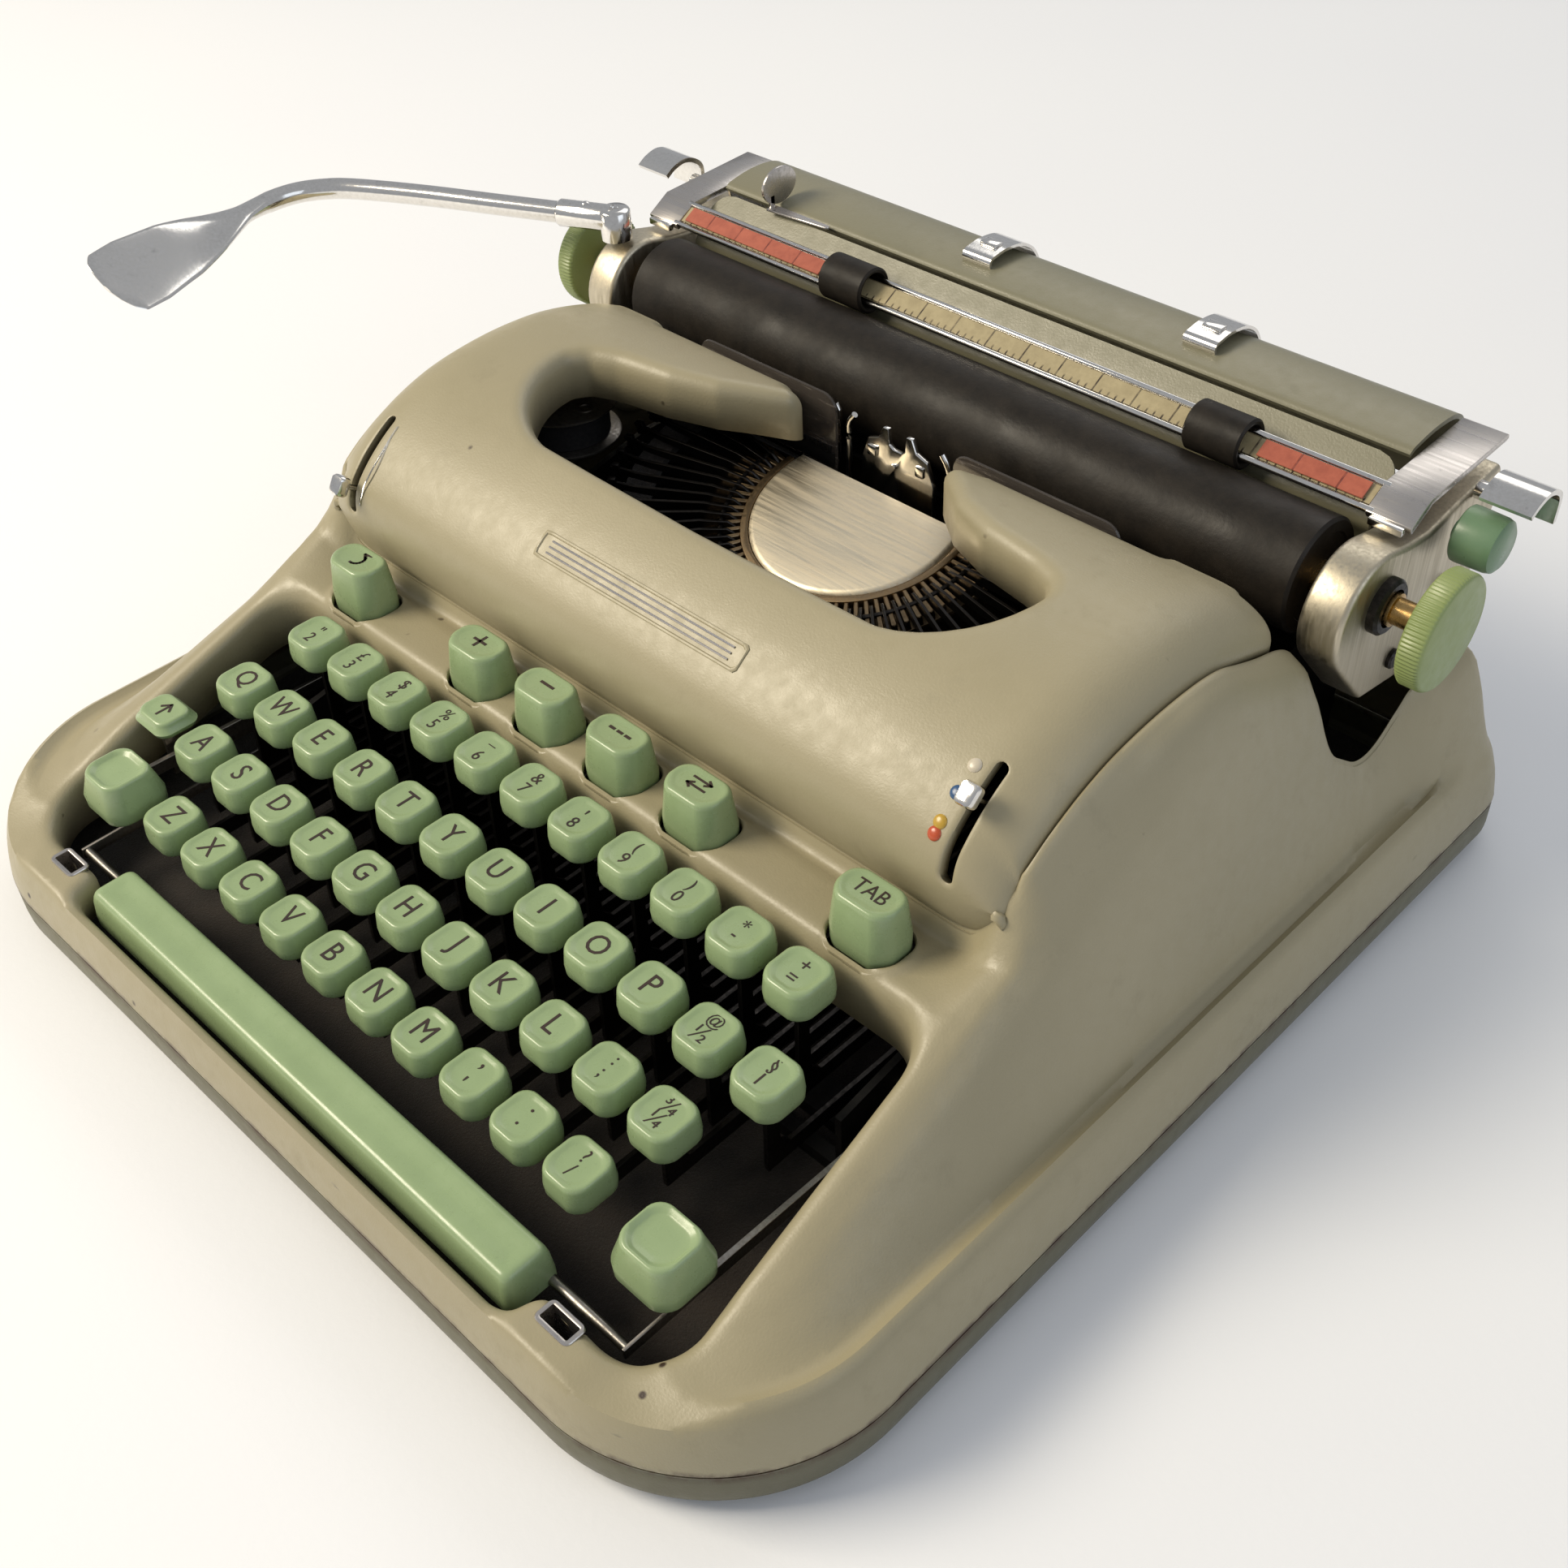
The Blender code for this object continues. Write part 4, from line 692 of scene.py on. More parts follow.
def body_height(x, y):
    """The outer surface of the sheet-metal body above each point of its plan."""
    inside = edge_distance(x, y)
    # The arms beside the keyboard climb to the level control strip, and the crest takes over behind it.
    arms = 28.5 + np.maximum(y + 157.5, 0.0) * 0.3865
    flat = np.where(y < -68.0, arms, STRIP_Z)
    behind = smoothstep(-49.0, -42.0, y)
    flat = flat + (side_crest(y) - flat) * behind
    centre = flat + (side_crest(y) - flat) * smoothstep(112.0, 136.0, np.abs(x))
    # Beside the cover the surface dips to meet the cover's edge.
    beside = smoothstep(-52.0, -44.0, y) * (1.0 - smoothstep(58.0, 66.0, y))
    beside = beside * smoothstep(118.0, COVER_HALF, np.abs(x))
    level = cover_edge(y) + np.minimum(side_crest(y) - cover_edge(y), 0.0) * smoothstep(15.0, 40.0, y) - 0.4
    valley = level + (side_crest(y) - level) * smoothstep(COVER_HALF, 137.0, np.abs(x))
    centre = centre + (valley - centre) * beside
    # A low pad stands round each latch socket.
    pad = 0.9 * (1.0 - smoothstep(8.0, 16.0, np.hypot((np.abs(x) - LATCH_X) * 0.8, y - LATCH_Y)))
    centre = np.maximum(centre + pad, 22.0)
    # Above the tray comes a narrow ledge, and a fender rises from it to the surface found so far.
    dip = 1.2 * smoothstep(120.0, 175.0, -y) * smoothstep(1.0, 6.0, inside)
    band = np.interp(np.clip(inside, 0.0, PLINTH_DEPTH), *PLINTH) - dip
    reach = 26.0 - 13.0 * smoothstep(84.0, 112.0, y)
    start = 9.0 - 4.0 * smoothstep(96.0, 125.0, y)
    rise = np.interp(np.clip((inside - start) / reach, 0.0, 1.0), *FENDER)
    low = np.minimum(band, centre)
    return low + np.maximum(centre - band, 0.0) * rise


def rim_step(inset, z):
    """A step of the wall below the body's rim: it moves a point out to an inset of the plan, at a height."""

    def foot(point):
        nudge = 0.05
        slope_x = edge_distance(point.x + nudge, point.y) - edge_distance(point.x - nudge, point.y)
        slope_y = edge_distance(point.x, point.y + nudge) - edge_distance(point.x, point.y - nudge)
        length = math.hypot(slope_x, slope_y) or 1.0
        move = float(edge_distance(point.x, point.y)) - inset
        return Vector((point.x - move * slope_x / length, point.y - move * slope_y / length, z))

    return foot


def well_outline():
    """The keyboard opening, with the space bar's slot reaching forward between the two corner pads."""
    right = [(0.0, -169.5), (88.0, -169.5)] + arc((91.0, -166.5), 2.0, -70, 0, 2)
    right += [(94.0, -163.0)] + arc((97.5, -162.5), 2.5, 150, 90, 2)
    right += arc((113.0, -144.0), 16.5, -85, -5, 8) + arc((114.0, -81.6), 13.0, 0, 90, 8)
    return mirrored(right + [(0.0, -68.6)])


def top_outline():
    """The opening under the cover, and the wider one behind it in which the carriage runs."""
    edge = COVER_HALF + SEAM
    right = [(0.0, -45.5), (edge - 8.0, -45.5)]
    right += arc((edge - 6.0, -39.0), 6.0, -80, 0, 5) + [(edge, 63.3)]
    right += arc((137.3, 68.5), 5.2, -90, 0, 5) + arc((137.3, 127.3), 5.2, 0, 90, 5)
    return mirrored(right + [(0.0, 132.5)])


def key_hole(x):
    """The hole of a control key: straight behind, bowed forwards in front."""
    half_x, half_y, radius = 10.4, 7.0, 5.0
    points = []
    for px, py in rounded_rectangle((x, CONTROL_Y), half_x, half_y, radius, 6):
        bow = 1.0 - ((px - x) / half_x) ** 2
        points.append((px, py - (1.6 * bow if py < CONTROL_Y else 0.0)))
    return np.array(points)


def body_shell():
    """The sheet-metal body: one pressed surface with a rolled edge at every opening."""
    outer = resampled(plan_outline(RIM_INSET), 2.2)
    well = rounded_outline(well_outline(), 2.4, 1.0)
    top = rounded_outline(top_outline(), 1.6, 1.4)
    keys = [resampled(key_hole(x), 0.9) for _, x, _, _ in CONTROL_KEYS]
    latches = [resampled(rounded_rectangle((x, LATCH_Y), 5.05, 2.7, 0.8), 0.9) for x in (-LATCH_X, LATCH_X)]
    holes = [well, top] + keys + latches
    rings = (0.25, 0.8, 1.6, 2.6, 3.8, 5.2, 7.0, 9.0)
    points, faces = triangulated(outer, holes, rings, 2.6, 1.4, 16.0)
    rolls = [(well, 4.2), (top, 1.3)] + [(key, 0.7) for key in keys] + [(latch, 0.3) for latch in latches]
    plateau = np.array(rounded_rectangle((-0.5, -59.0), 112.5, 8.5, 8.0, 6))

    def lift(flat_points):
        x, y = flat_points[:, 0], flat_points[:, 1]
        z = body_height(x, y)
        near = np.abs(y + 59.0) < 12.0
        gap = polyline_distance(flat_points[near], plateau)
        level = np.where(within(flat_points, plateau)[near], gap, -gap)
        z[near] += 0.9 * smoothstep(-0.4, 1.0, level)
        for outline, radius in rolls:
            z -= roll_drop(polyline_distance(flat_points, outline), radius)
        return np.stack([x, y, z], axis=1)

    rim = ((0.9, 21.2), (0.5, 19.0), (0.2, 17.2), (0.0, 16.0), (0.15, 15.4))
    skirts = [(outer, [rim_step(inset, z) for inset, z in rim])]
    skirts += [(well, [lambda p: Vector((p.x, p.y, max(p.z - 13.0, 17.0)))])]
    skirts += [(top, [lambda p: Vector((p.x, p.y, p.z - 5.0))])]
    skirts += [(key, [lambda p: Vector((p.x, p.y, p.z - 3.0))]) for key in keys]
    skirts += [(latch, [lambda p: Vector((p.x, p.y, p.z - 4.0))]) for latch in latches]
    bm = bmesh.new()
    surface(bm, points, faces, lift, skirts)
    obj = piece("body_enamelled_shell", bm, BODY, "chassis", ["body_shell"], 50.0)
    solid_shell(obj, PAINT_WALL)


def base_tray():
    """A shallow pan with a rolled lip, and the felt that lies in it."""
    bm = bmesh.new()
    levels = (
        (2.2, 4.0), (0.9, 4.3), (0.15, 5.6), (0.0, 7.5), (0.0, 12.8), (0.5, 13.9), (0.5, 14.3),
        (0.1, 14.5), (0.1, 15.0)
    )
    levels += ((1.2, 15.0), (2.0, 14.6), (2.0, 7.0), (3.2, 6.0))
    rings = []
    for inset, z in levels:
        rings.append([(x, y, z) for x, y in plan_outline(inset, 24)])
    skin(bm, rings)
    piece("tray_pan", bm, TRAY, "chassis", ["base_tray"])
    bm = bmesh.new()
    outline = [(x, y) for x, y in plan_outline(6.0, 12)]
    slab(bm, outline, 6.1, 7.0, "Z", 0.3)
    piece("tray_felt", bm, FELT, "chassis")


def rubber_feet():
    places = ((-118, -132), (118, -132), (-128, 112), (128, 112))
    for number, (x, y) in enumerate(places, 1):
        bm = bmesh.new()
        profile = [
            (0.0, 3.7), (8.6, 3.7), (9.4, 3.2), (10.0, 1.2), (9.6, 0.4), (8.8, 0.0), (3.4, 0.0),
            (3.0, 0.8), (0.0, 0.8)
        ]
        turned(bm, profile, (x, y, 0.0), "Z", 32)
        piece(f"foot_{number}", bm, FOOT, "chassis", [f"rubber_foot_{number}"])


# ---------------------------------------------------------------------------------------- cover

COVER_PROFILE = smooth_path(
    (
        (-43.2, 63.9), (-45.0, 67.0), (-47.5, 70.5), (-49.4, 77.0), (-50.0, 84.0), (-48.6, 91.0),
        (-44.5, 96.5), (-37.5, 102.5), (-30.0, 107.2), (-20.0, 111.8), (-8.0, 115.2), (8.0, 117.0),
        (24.0, 116.8), (36.0, 115.0), (48.0, 111.5), (57.0, 107.5),
    ),
    240,
)
COVER_REACH = np.concatenate([[0.0], np.cumsum(np.hypot(*np.diff(COVER_PROFILE, axis=0).T))])


def cover_points(flat_points):
    """Places points of (x, distance along the side view) on the cover's outer face."""
    x, s = flat_points[:, 0], flat_points[:, 1]
    y = np.interp(s, COVER_REACH, COVER_PROFILE[:, 0])
    z = np.interp(s, COVER_REACH, COVER_PROFILE[:, 1])
    flat_half = 106.0
    ends = np.maximum(np.abs(x) - flat_half, 0.0) / (COVER_HALF - flat_half)
    above = smoothstep(76.0, 92.0, z)
    drop = 9.5 * ends**2.6 * above
    lift = 9.0 * ends**4 * np.clip((84.0 - z) / 18.0, 0.0, 1.0) * (y < -20.0)
    back = 3.5 * ends**3 * smoothstep(-40.0, -46.0, y)
    pull = 2.0 * ends**2 * np.clip((y - 40.0) / 17.0, 0.0, 1.0)
    return np.stack([x, y + back + pull, z - drop + lift], axis=1)


def cover_edge(y):
    """The height of the cover's side edge at a place y."""
    flat_points = np.stack([np.full(len(COVER_REACH), COVER_HALF), COVER_REACH], axis=1)
    placed = cover_points(flat_points)[int(np.argmin(COVER_PROFILE[:, 0])) :]
    order = np.argsort(placed[:, 1])
    return np.interp(y, placed[order, 1], placed[order, 2])


def along_cover(y):
    """The distance along the cover's side view at a place y behind its front bulge."""
    upper = COVER_PROFILE[:, 1] > 96.0
    return np.interp(y, COVER_PROFILE[upper, 0], COVER_REACH[upper])


def cover_opening():
    """The gap over the type basket: a long bean whose rear edge is two wings with a mouth between them."""
    right = [(0.0, -16.5), (40.0, -16.0)] + arc((56.0, 15.0), 31.0, -80, 0, 8)
    right += [(84.0, 20.0), (76.0, 23.5), (58.0, 27.0), (44.0, 33.0), (32.0, 43.5)]
    right += arc((33.5, 49.0), 5.5, 200, 140, 4) + [(36.0, 57.0)]
    return right


def cover_outline():
    """The cover's edge with the mouth of its opening, as (x, distance along the side view)."""
    end = COVER_REACH[-1]
    corner = 5.0
    right = [(0.0, 0.0), (COVER_HALF - corner, 0.0)] + arc((COVER_HALF - corner, corner), corner, -90, 0, 6)
    right += [(COVER_HALF, end - corner)] + arc((COVER_HALF - corner, end - corner), corner, 0, 90, 6)
    right += [(40.0, end)] + arc((37.5, end - 2.5), 2.5, 90, 180, 3)
    right += [(x, along_cover(y)) for x, y in reversed(cover_opening()[:-1])]
    left = [(-x, s) for x, s in reversed(right) if abs(x) > 0.01]
    return right, left


def top_cover():
    right, left = cover_outline()
    outer = rounded_outline(np.array(right + left), 1.6, 1.1)
    low, high = along_slot()
    slots = []
    for side in (-1, 1):
        slot = rounded_rectangle((side * SLOT_X, (low + high) / 2), 1.7, (high - low) / 2, 1.6)
        slots.append(resampled(slot, 0.8))
    rings = (0.25, 0.8, 1.6, 2.6, 3.8, 5.2)
    points, faces = triangulated(outer, slots, rings, 2.6, 1.4, 10.0)
    rim = outer[(np.abs(outer[:, 0]) < 92.0) & (outer[:, 1] > 20.0)]
    seam = outer[(np.abs(outer[:, 0]) > COVER_HALF - 12.0)]

    def lift(flat_points):
        placed = cover_points(flat_points)
        placed[:, 2] -= roll_drop(nearest(flat_points, rim), 5.0)
        placed[:, 2] -= roll_drop(nearest(flat_points, seam), 2.2)
        for slot in slots:
            gap = np.minimum(polyline_distance(flat_points, slot), 0.5)
            placed[:, 1] += 0.5 - gap
        return placed

    def down(point):
        """The foot of the cover's edge: a deep rolled lip round the opening, a short flange at the seams."""
        rim_share = float(smoothstep(-30.0, -24.0, point.y) * (1.0 - smoothstep(92.0, 100.0, abs(point.x))))
        front = float(smoothstep(90.0, 80.0, point.z))
        return Vector((point.x, point.y + 2.5 * front, point.z - (2.5 + 7.5 * rim_share) * (1.0 - front)))

    bm = bmesh.new()
    skirts = [(outer, [down])]
    skirts += [(slot, [lambda p: Vector((p.x, p.y + 2.6, p.z - 1.6))]) for slot in slots]
    surface(bm, points, faces, lift, skirts)
    obj = piece("cover_enamelled_shell", bm, BODY, "chassis", ["top_cover"], 50.0)
    solid_shell(obj, PAINT_WALL)


def along_slot():
    """The lower and upper end of the lever slots along the cover's side view."""
    heights = COVER_PROFILE[:, 1]
    low = np.interp(84.0, heights[:150], COVER_REACH[:150])
    high = np.interp(107.0, heights[:150], COVER_REACH[:150])
    return low, high


def on_cover(x, s, out=0.0):
    """A point on the cover's face, raised from it by out."""
    near = cover_points(np.array([(x, s), (x + 0.5, s), (x, s + 0.5)]))
    normal = np.cross(near[1] - near[0], near[2] - near[0])
    normal /= np.linalg.norm(normal)
    return Vector(near[0] + normal * out)


def cover_badge():
    """A plain plate with a raised rim and ribs, where the real cover carries lettering."""
    middle_x, half_x, half_s = 0.3, 38.2, 3.9
    bm = bmesh.new()
    outline = resampled(rounded_rectangle((0.0, 0.0), half_x, half_s, 0.8, 3), 1.5)
    rings = []
    for inset, out in ((0.0, -0.6), (0.0, 0.25), (0.25, 0.45), (0.7, 0.45), (0.9, 0.2), (1.0, 0.05)):
        ring = []
        for x, s in outline:
            factor_x, factor_s = (half_x - inset) / half_x, (half_s - inset) / half_s
            ring.append(on_cover(middle_x + x * factor_x, BADGE_S + s * factor_s, out))
        rings.append(ring)
    skin(bm, rings, index=0)
    for row in (-1.7, 0.0, 1.7):
        points = [
            on_cover(middle_x + x, BADGE_S + row, 0.12) for x in np.linspace(-half_x + 4.0, half_x - 4.0, 40)
        ]
        sweep(bm, points, 0.32, 6, index=1)
    piece("cover_plain_plate", bm, [BODY, SATIN], "chassis")


BADGE_S = float(np.interp(104.9, COVER_PROFILE[:110, 1], COVER_REACH[:110]))


def slot_levers():
    """The touch lever and the ribbon colour lever: an arm inside, a small chrome knob outside its slot."""
    for name, side, angle in (("touch_lever", -1, 147.0), ("colour_selector", 1, 133.0)):
        x = side * SLOT_X
        along = Vector((0.0, math.cos(math.radians(angle)), math.sin(math.radians(angle))))
        pivot = Vector((x, 0.0, 60.0))
        bm = bmesh.new()
        turned(bm, [(0.0, -1.6), (3.0, -1.6), (3.0, 1.6), (0.0, 1.6)], pivot, "X", 20)
        sweep(bm, [pivot, pivot + along * 61.0], 0.9, 10, up=(1, 0, 0))
        ring_plan = rounded_rectangle((0.0, 0.0), 2.5, 3.0, 1.3, 4)
        across = Vector((0.0, along.z, -along.y))
        rings = []
        for reach, size in ((60.2, 0.6), (60.4, 0.92), (61.0, 1.0), (63.0, 1.0), (63.7, 0.88), (63.9, 0.6)):
            middle = pivot + along * reach
            rings.append([middle + Vector((px * size, 0, 0)) + across * py * size for px, py in ring_plan])
        skin(bm, rings)
        piece(f"{name}_knob", bm, CHROME, name, [name])
    low, high = along_slot()
    for number, name in enumerate(("dot_red", "dot_yellow", "dot_blue", "dot_white")):
        bm = bmesh.new()
        s = low + 3.0 + (high - low - 5.0) * (0.27, 0.38, 0.66, 0.93)[number]
        centre = on_cover(SLOT_X - 5.6, s)
        out = (on_cover(SLOT_X - 5.6, s, 1.0) - centre).normalized()
        turn = out.to_track_quat("Z", "Y").to_matrix()
        angles = np.linspace(0, 2 * math.pi, 20, endpoint=False)
        rings = []
        for radius, height in ((1.75, -0.4), (1.75, 0.1), (1.5, 0.4), (1.0, 0.62), (0.4, 0.7)):
            around = [Vector((radius * math.cos(a), radius * math.sin(a), height)) for a in angles]
            rings.append([centre + turn @ point for point in around])
        skin(bm, rings)
        piece(name, bm, DOTS[name], "chassis")
    touch_wedge(low, high)


def touch_wedge(low, high):
    """The curved chrome wedge beside the touch lever's slot, which widens as the touch grows firmer."""
    bm = bmesh.new()
    left, right = [], []
    for t in np.linspace(0.0, 1.0, 14):
        s = low + (high - low) * (0.12 + 0.8 * t)
        half = 0.25 + 1.5 * math.sin(math.pi * min(t * 1.15, 1.0)) ** 1.5
        left.append(on_cover(-SLOT_X + 4.6 + 0.8 * math.sin(3.0 * t), s, 0.35))
        right.append(on_cover(-SLOT_X + 4.6 + 0.8 * math.sin(3.0 * t) + half, s, 0.35))
    ring = left + right[::-1]
    inward = (on_cover(-SLOT_X, low, -0.6) - on_cover(-SLOT_X, low, 0.0))
    skin(bm, [[point + inward for point in ring], ring])
    piece("touch_mark", bm, CHROME, "chassis")


def latch_sockets():
    """The chrome-rimmed sockets in the front corner pads, with a black cup below."""
    for name, side in (("latch_socket_left", -1), ("latch_socket_right", 1)):
        bm = bmesh.new()
        x = side * LATCH_X
        rings = []
        shapes = (
            (5.7, 3.2, 1.6, 28.95), (5.7, 3.2, 1.6, 29.5), (5.5, 3.0, 1.5, 29.75), (4.85, 2.4, 0.8, 29.8),
            (4.5, 2.02, 0.35, 29.65), (4.4, 1.92, 0.3, 29.2), (4.4, 1.92, 0.3, 20.5),
            (4.7, 2.3, 0.5, 20.5), (4.7, 2.3, 0.5, 28.9),
        )
        for half_x, half_y, radius, z in shapes:
            plan = rounded_rectangle((x, LATCH_Y), half_x, half_y, radius, 5)
            rings.append([(px, py, z) for px, py in plan])
        skin(bm, rings, start_cap=False, end_cap=False)
        bridge = [[bm.verts.new(p) for p in ring] for ring in (rings[-1], rings[0])]
        for i in range(len(bridge[0])):
            j = (i + 1) % len(bridge[0])
            bm.faces.new((bridge[0][i], bridge[0][j], bridge[1][j], bridge[1][i]))
        block(bm, (x - 4.4, LATCH_Y - 2.1, 19.6), (x + 4.4, LATCH_Y + 2.1, 20.4), 0.1, 1)
        piece(f"{name}_ring", bm, [SATIN, BLACK], "chassis", [name])


# ---------------------------------------------------------------------------------------- keyboard


DISH = 0.6
LEGEND_THICK = 0.13
LEGEND_INDEX = 2


def cap_rings(x, y, top, half_x, half_y, height, radius, taper, bow=0.9, dish=DISH):
    """Rings of a moulded key top, from its open foot to the bottom of its dish."""
    shape = (
        (1.1, -height), (0.55, -height + 0.5), (0.15, -height + 1.4), (0.0, -height * 0.6), (taper, -1.5),
        (taper + 0.1, -0.9), (taper + 0.3, -0.42), (taper + 0.6, -0.12), (taper + 0.95, 0.0),
        (taper + 1.5, -0.2 * dish), (taper + 2.1, -0.7 * dish), (taper + 2.6, -0.92 * dish),
        (half_x * 0.62, -dish), (half_x * 0.9, -dish),
    )
    rings = []
    for inset, z in shape:
        ring = []
        hx, hy = half_x - inset, half_y - min(inset, half_y * 0.93)
        corner = max(min(radius - inset * 0.25, hx * 0.95, hy * 0.95), 0.2)
        for px, py in rounded_rectangle((0.0, 0.0), hx, hy, corner, 6):
            swell = 1.0 - (px / max(hx, 0.1)) ** 2
            front = smoothstep(-0.2 * hy, -hy, py)
            px += 0.35 * math.copysign(1.0, px) * (1.0 - (py / max(hy, 0.1)) ** 2) * min(1.0, hx / 4.0)
            ring.append((x + px, y + py - bow * swell * float(front) * min(1.0, hy / 4.0), top + z))
        rings.append(ring)
    return rings


def lever_hub(bm, low, high):
    """The bush by which a key's lever turns on the rear shaft, between two places along x."""
    inner, outer = 3.4, 5.0
    profile = [(inner, low), (outer, low), (outer, high), (inner, high)]
    turned(bm, profile, (0.0, *LEVER_SHAFT), "X", 20, 1)


def key_lever(bm, x, y, top):
    """A steel lever from the rear shaft to its key, cranked up to the cap."""
    y_shaft, z_shaft = LEVER_SHAFT
    outline = [
        (y_shaft - 4.2, z_shaft - 2.3), (y - 2.0, z_shaft - 2.3), (y - 2.2, z_shaft), (y - 1.6, top),
        (y + 1.6, top), (y + 2.4, z_shaft + 6.0), (y + 5.5, z_shaft + 2.6),
        (y_shaft - 4.2, z_shaft + 2.3),
    ]
    slab(bm, outline, x - 0.7, x + 0.7, "X", 0.12, 1, index=1)


LEGENDS = (
    ('"/2', "£/3", "$/4", "%/5", "_/6", "&/7", "'/8", "(/9", ")/0", "*/-", "+/="),
    ("Q", "W", "E", "R", "T", "Y", "U", "I", "O", "P", "@/½", "§/1"),
    ("A", "S", "D", "F", "G", "H", "J", "K", "L", ":/;", "¾/¼"),
    ("Z", "X", "C", "V", "B", "N", "M", ",/'", "·/.", "?//"),
)


def text_mesh(text, size):
    """Flat letters as triangles (n, 2) and faces, centred on their own box, in millimetres."""
    curve = bpy.data.curves.new("legend", "FONT")
    curve.body = text
    curve.size = size
    curve.resolution_u = 3
    holder = bpy.data.objects.new("legend", curve)
    bpy.context.scene.collection.objects.link(holder)
    graph = bpy.context.evaluated_depsgraph_get()
    graph.update()
    mesh = bpy.data.meshes.new_from_object(holder.evaluated_get(graph))
    points = np.array([v.co[:2] for v in mesh.vertices]).reshape(-1, 2)
    faces = [list(p.vertices) for p in mesh.polygons]
    bpy.data.objects.remove(holder, do_unlink=True)
    bpy.data.curves.remove(curve)
    bpy.data.meshes.remove(mesh)
    if len(points):
        points -= (points.min(axis=0) + points.max(axis=0)) / 2
    return points, faces


def add_legend(bm, text, size, x, y, z, squeeze):
    """Lays printed letters on a key top, as a very thin raised film."""
    points, faces = text_mesh(text, size)
    own = bmesh.new()
    verts = [own.verts.new((x + px, y + py, z)) for px, py in points * (squeeze, 1.0)]
    for face in faces:
        own.faces.new([verts[i] for i in face])
    made = bmesh.ops.extrude_face_region(own, geom=list(own.faces))
    moved = [v for v in made["geom"] if isinstance(v, bmesh.types.BMVert)]
    bmesh.ops.translate(own, verts=moved, vec=(0.0, 0.0, LEGEND_THICK))
    merge(bm, own, LEGEND_INDEX)


def stroke(bm, points, z, half):
    """A drawn line of a legend, laid on a key top."""
    for start, end in zip(points, points[1:]):
        start, end = Vector((*start, z)), Vector((*end, z))
        along = (end - start).normalized() * half * 0.8
        side = Vector((-along.y, along.x, 0.0)).normalized() * half
        corners = [start - along - side, end + along - side, end + along + side, start - along + side]
        slab(bm, [(p.x, p.y) for p in corners], z, z + LEGEND_THICK, "Z", index=LEGEND_INDEX)


def key_legend(bm, text, x, y, z):
    signs = ["?", "/"] if text == "?//" else text.split("/")
    if len(signs) == 1:
        add_legend(bm, text, 8.8, x, y + 0.1, z, squeeze=0.92)
        return
    upper, lower = signs
    small = {"·": 7.0, ".": 7.0, ",": 7.5, "'": 6.5, "¾": 6.6, "¼": 6.6, "½": 6.6, "@": 4.8, '"': 5.6}
    add_legend(bm, upper, small.get(upper, 5.4), x, y + 2.35, z, squeeze=0.95)
    add_legend(bm, lower, small.get(lower, 5.4), x, y - 2.35, z, squeeze=0.95)


def key_groups():
    """Each column of four keys with their steel levers."""
    for column in range(11):
        bm = bmesh.new()
        xs = []
        for row in range(4):
            number = column
            x = FIRST_KEY_X + ROW_OFFSETS[row] + KEY_PITCH * column
            line = row
            if column == 10 and row == 3:
                line, number, x = 1, 11, FIRST_KEY_X + ROW_OFFSETS[1] + KEY_PITCH * 11
            y, top = ROW_Y[line], ROW_TOP[line]
            xs.append(x)
            skin(bm, cap_rings(x, y, top, 7.1, 7.0, CAP_HEIGHT, 3.7, 0.3))
            key_lever(bm, x, y, top - CAP_HEIGHT + 1.5)
            key_legend(bm, LEGENDS[line][number], x, y, top - DISH - 0.02)
        lever_hub(bm, min(xs) - 1.6, max(xs) + 1.6)
        name = f"key_group_{column + 1:02d}"
        piece(f"keys_column_{column + 1:02d}", bm, [MINT, BLACK_STEEL, LEGEND], name, [name])


def shift_keys():
    for name, side in (("shift_key_left", -1), ("shift_key_right", 1)):
        x, arm_x = side * 112.0, side * 119.8
        bm = bmesh.new()
        skin(bm, cap_rings(x, -139.5, 43.9, 9.7, 9.0, 13.0, 4.4, 1.7, 0.9, 1.2))
        lever_hub(bm, arm_x - 1.5, arm_x + 1.5)
        outline = [(93.8, 21.9), (-137.5, 28.7), (-137.5, 32.8), (93.8, 26.1)]
        slab(bm, outline, arm_x - 0.8, arm_x + 0.8, "X", 0.15, 1, 1)
        low, high = sorted((arm_x, x))
        block(bm, (low - 0.5, -141.5, 29.2), (high + 0.5, -137.2, 32.6), 0.4, 1)
        piece(f"{name}_cap", bm, [MINT, STEEL], name, [name])
    bm = bmesh.new()
    skin(bm, cap_rings(-120.0, -118.5, 48.0, 8.0, 6.6, 4.8, 3.2, 1.2, 0.5, 0.35))
    lever_hub(bm, -125.4, -122.8)
    outline = [(93.8, 21.9), (-120.3, 21.9), (-120.3, 44.5), (-116.8, 44.5), (-116.8, 26.1), (93.8, 26.1)]
    slab(bm, outline, -124.7, -123.3, "X", 0.15, 1, 1)
    z = 48.0 - 0.32
    stroke(bm, [(-120.0, -121.2), (-120.0, -116.2)], z, 0.35)
    stroke(bm, [(-121.9, -118.2), (-120.0, -116.0), (-118.1, -118.2)], z, 0.35)
    piece("shift_lock_cap", bm, [MINT, STEEL, LEGEND], "shift_lock_key", ["shift_lock_key"])


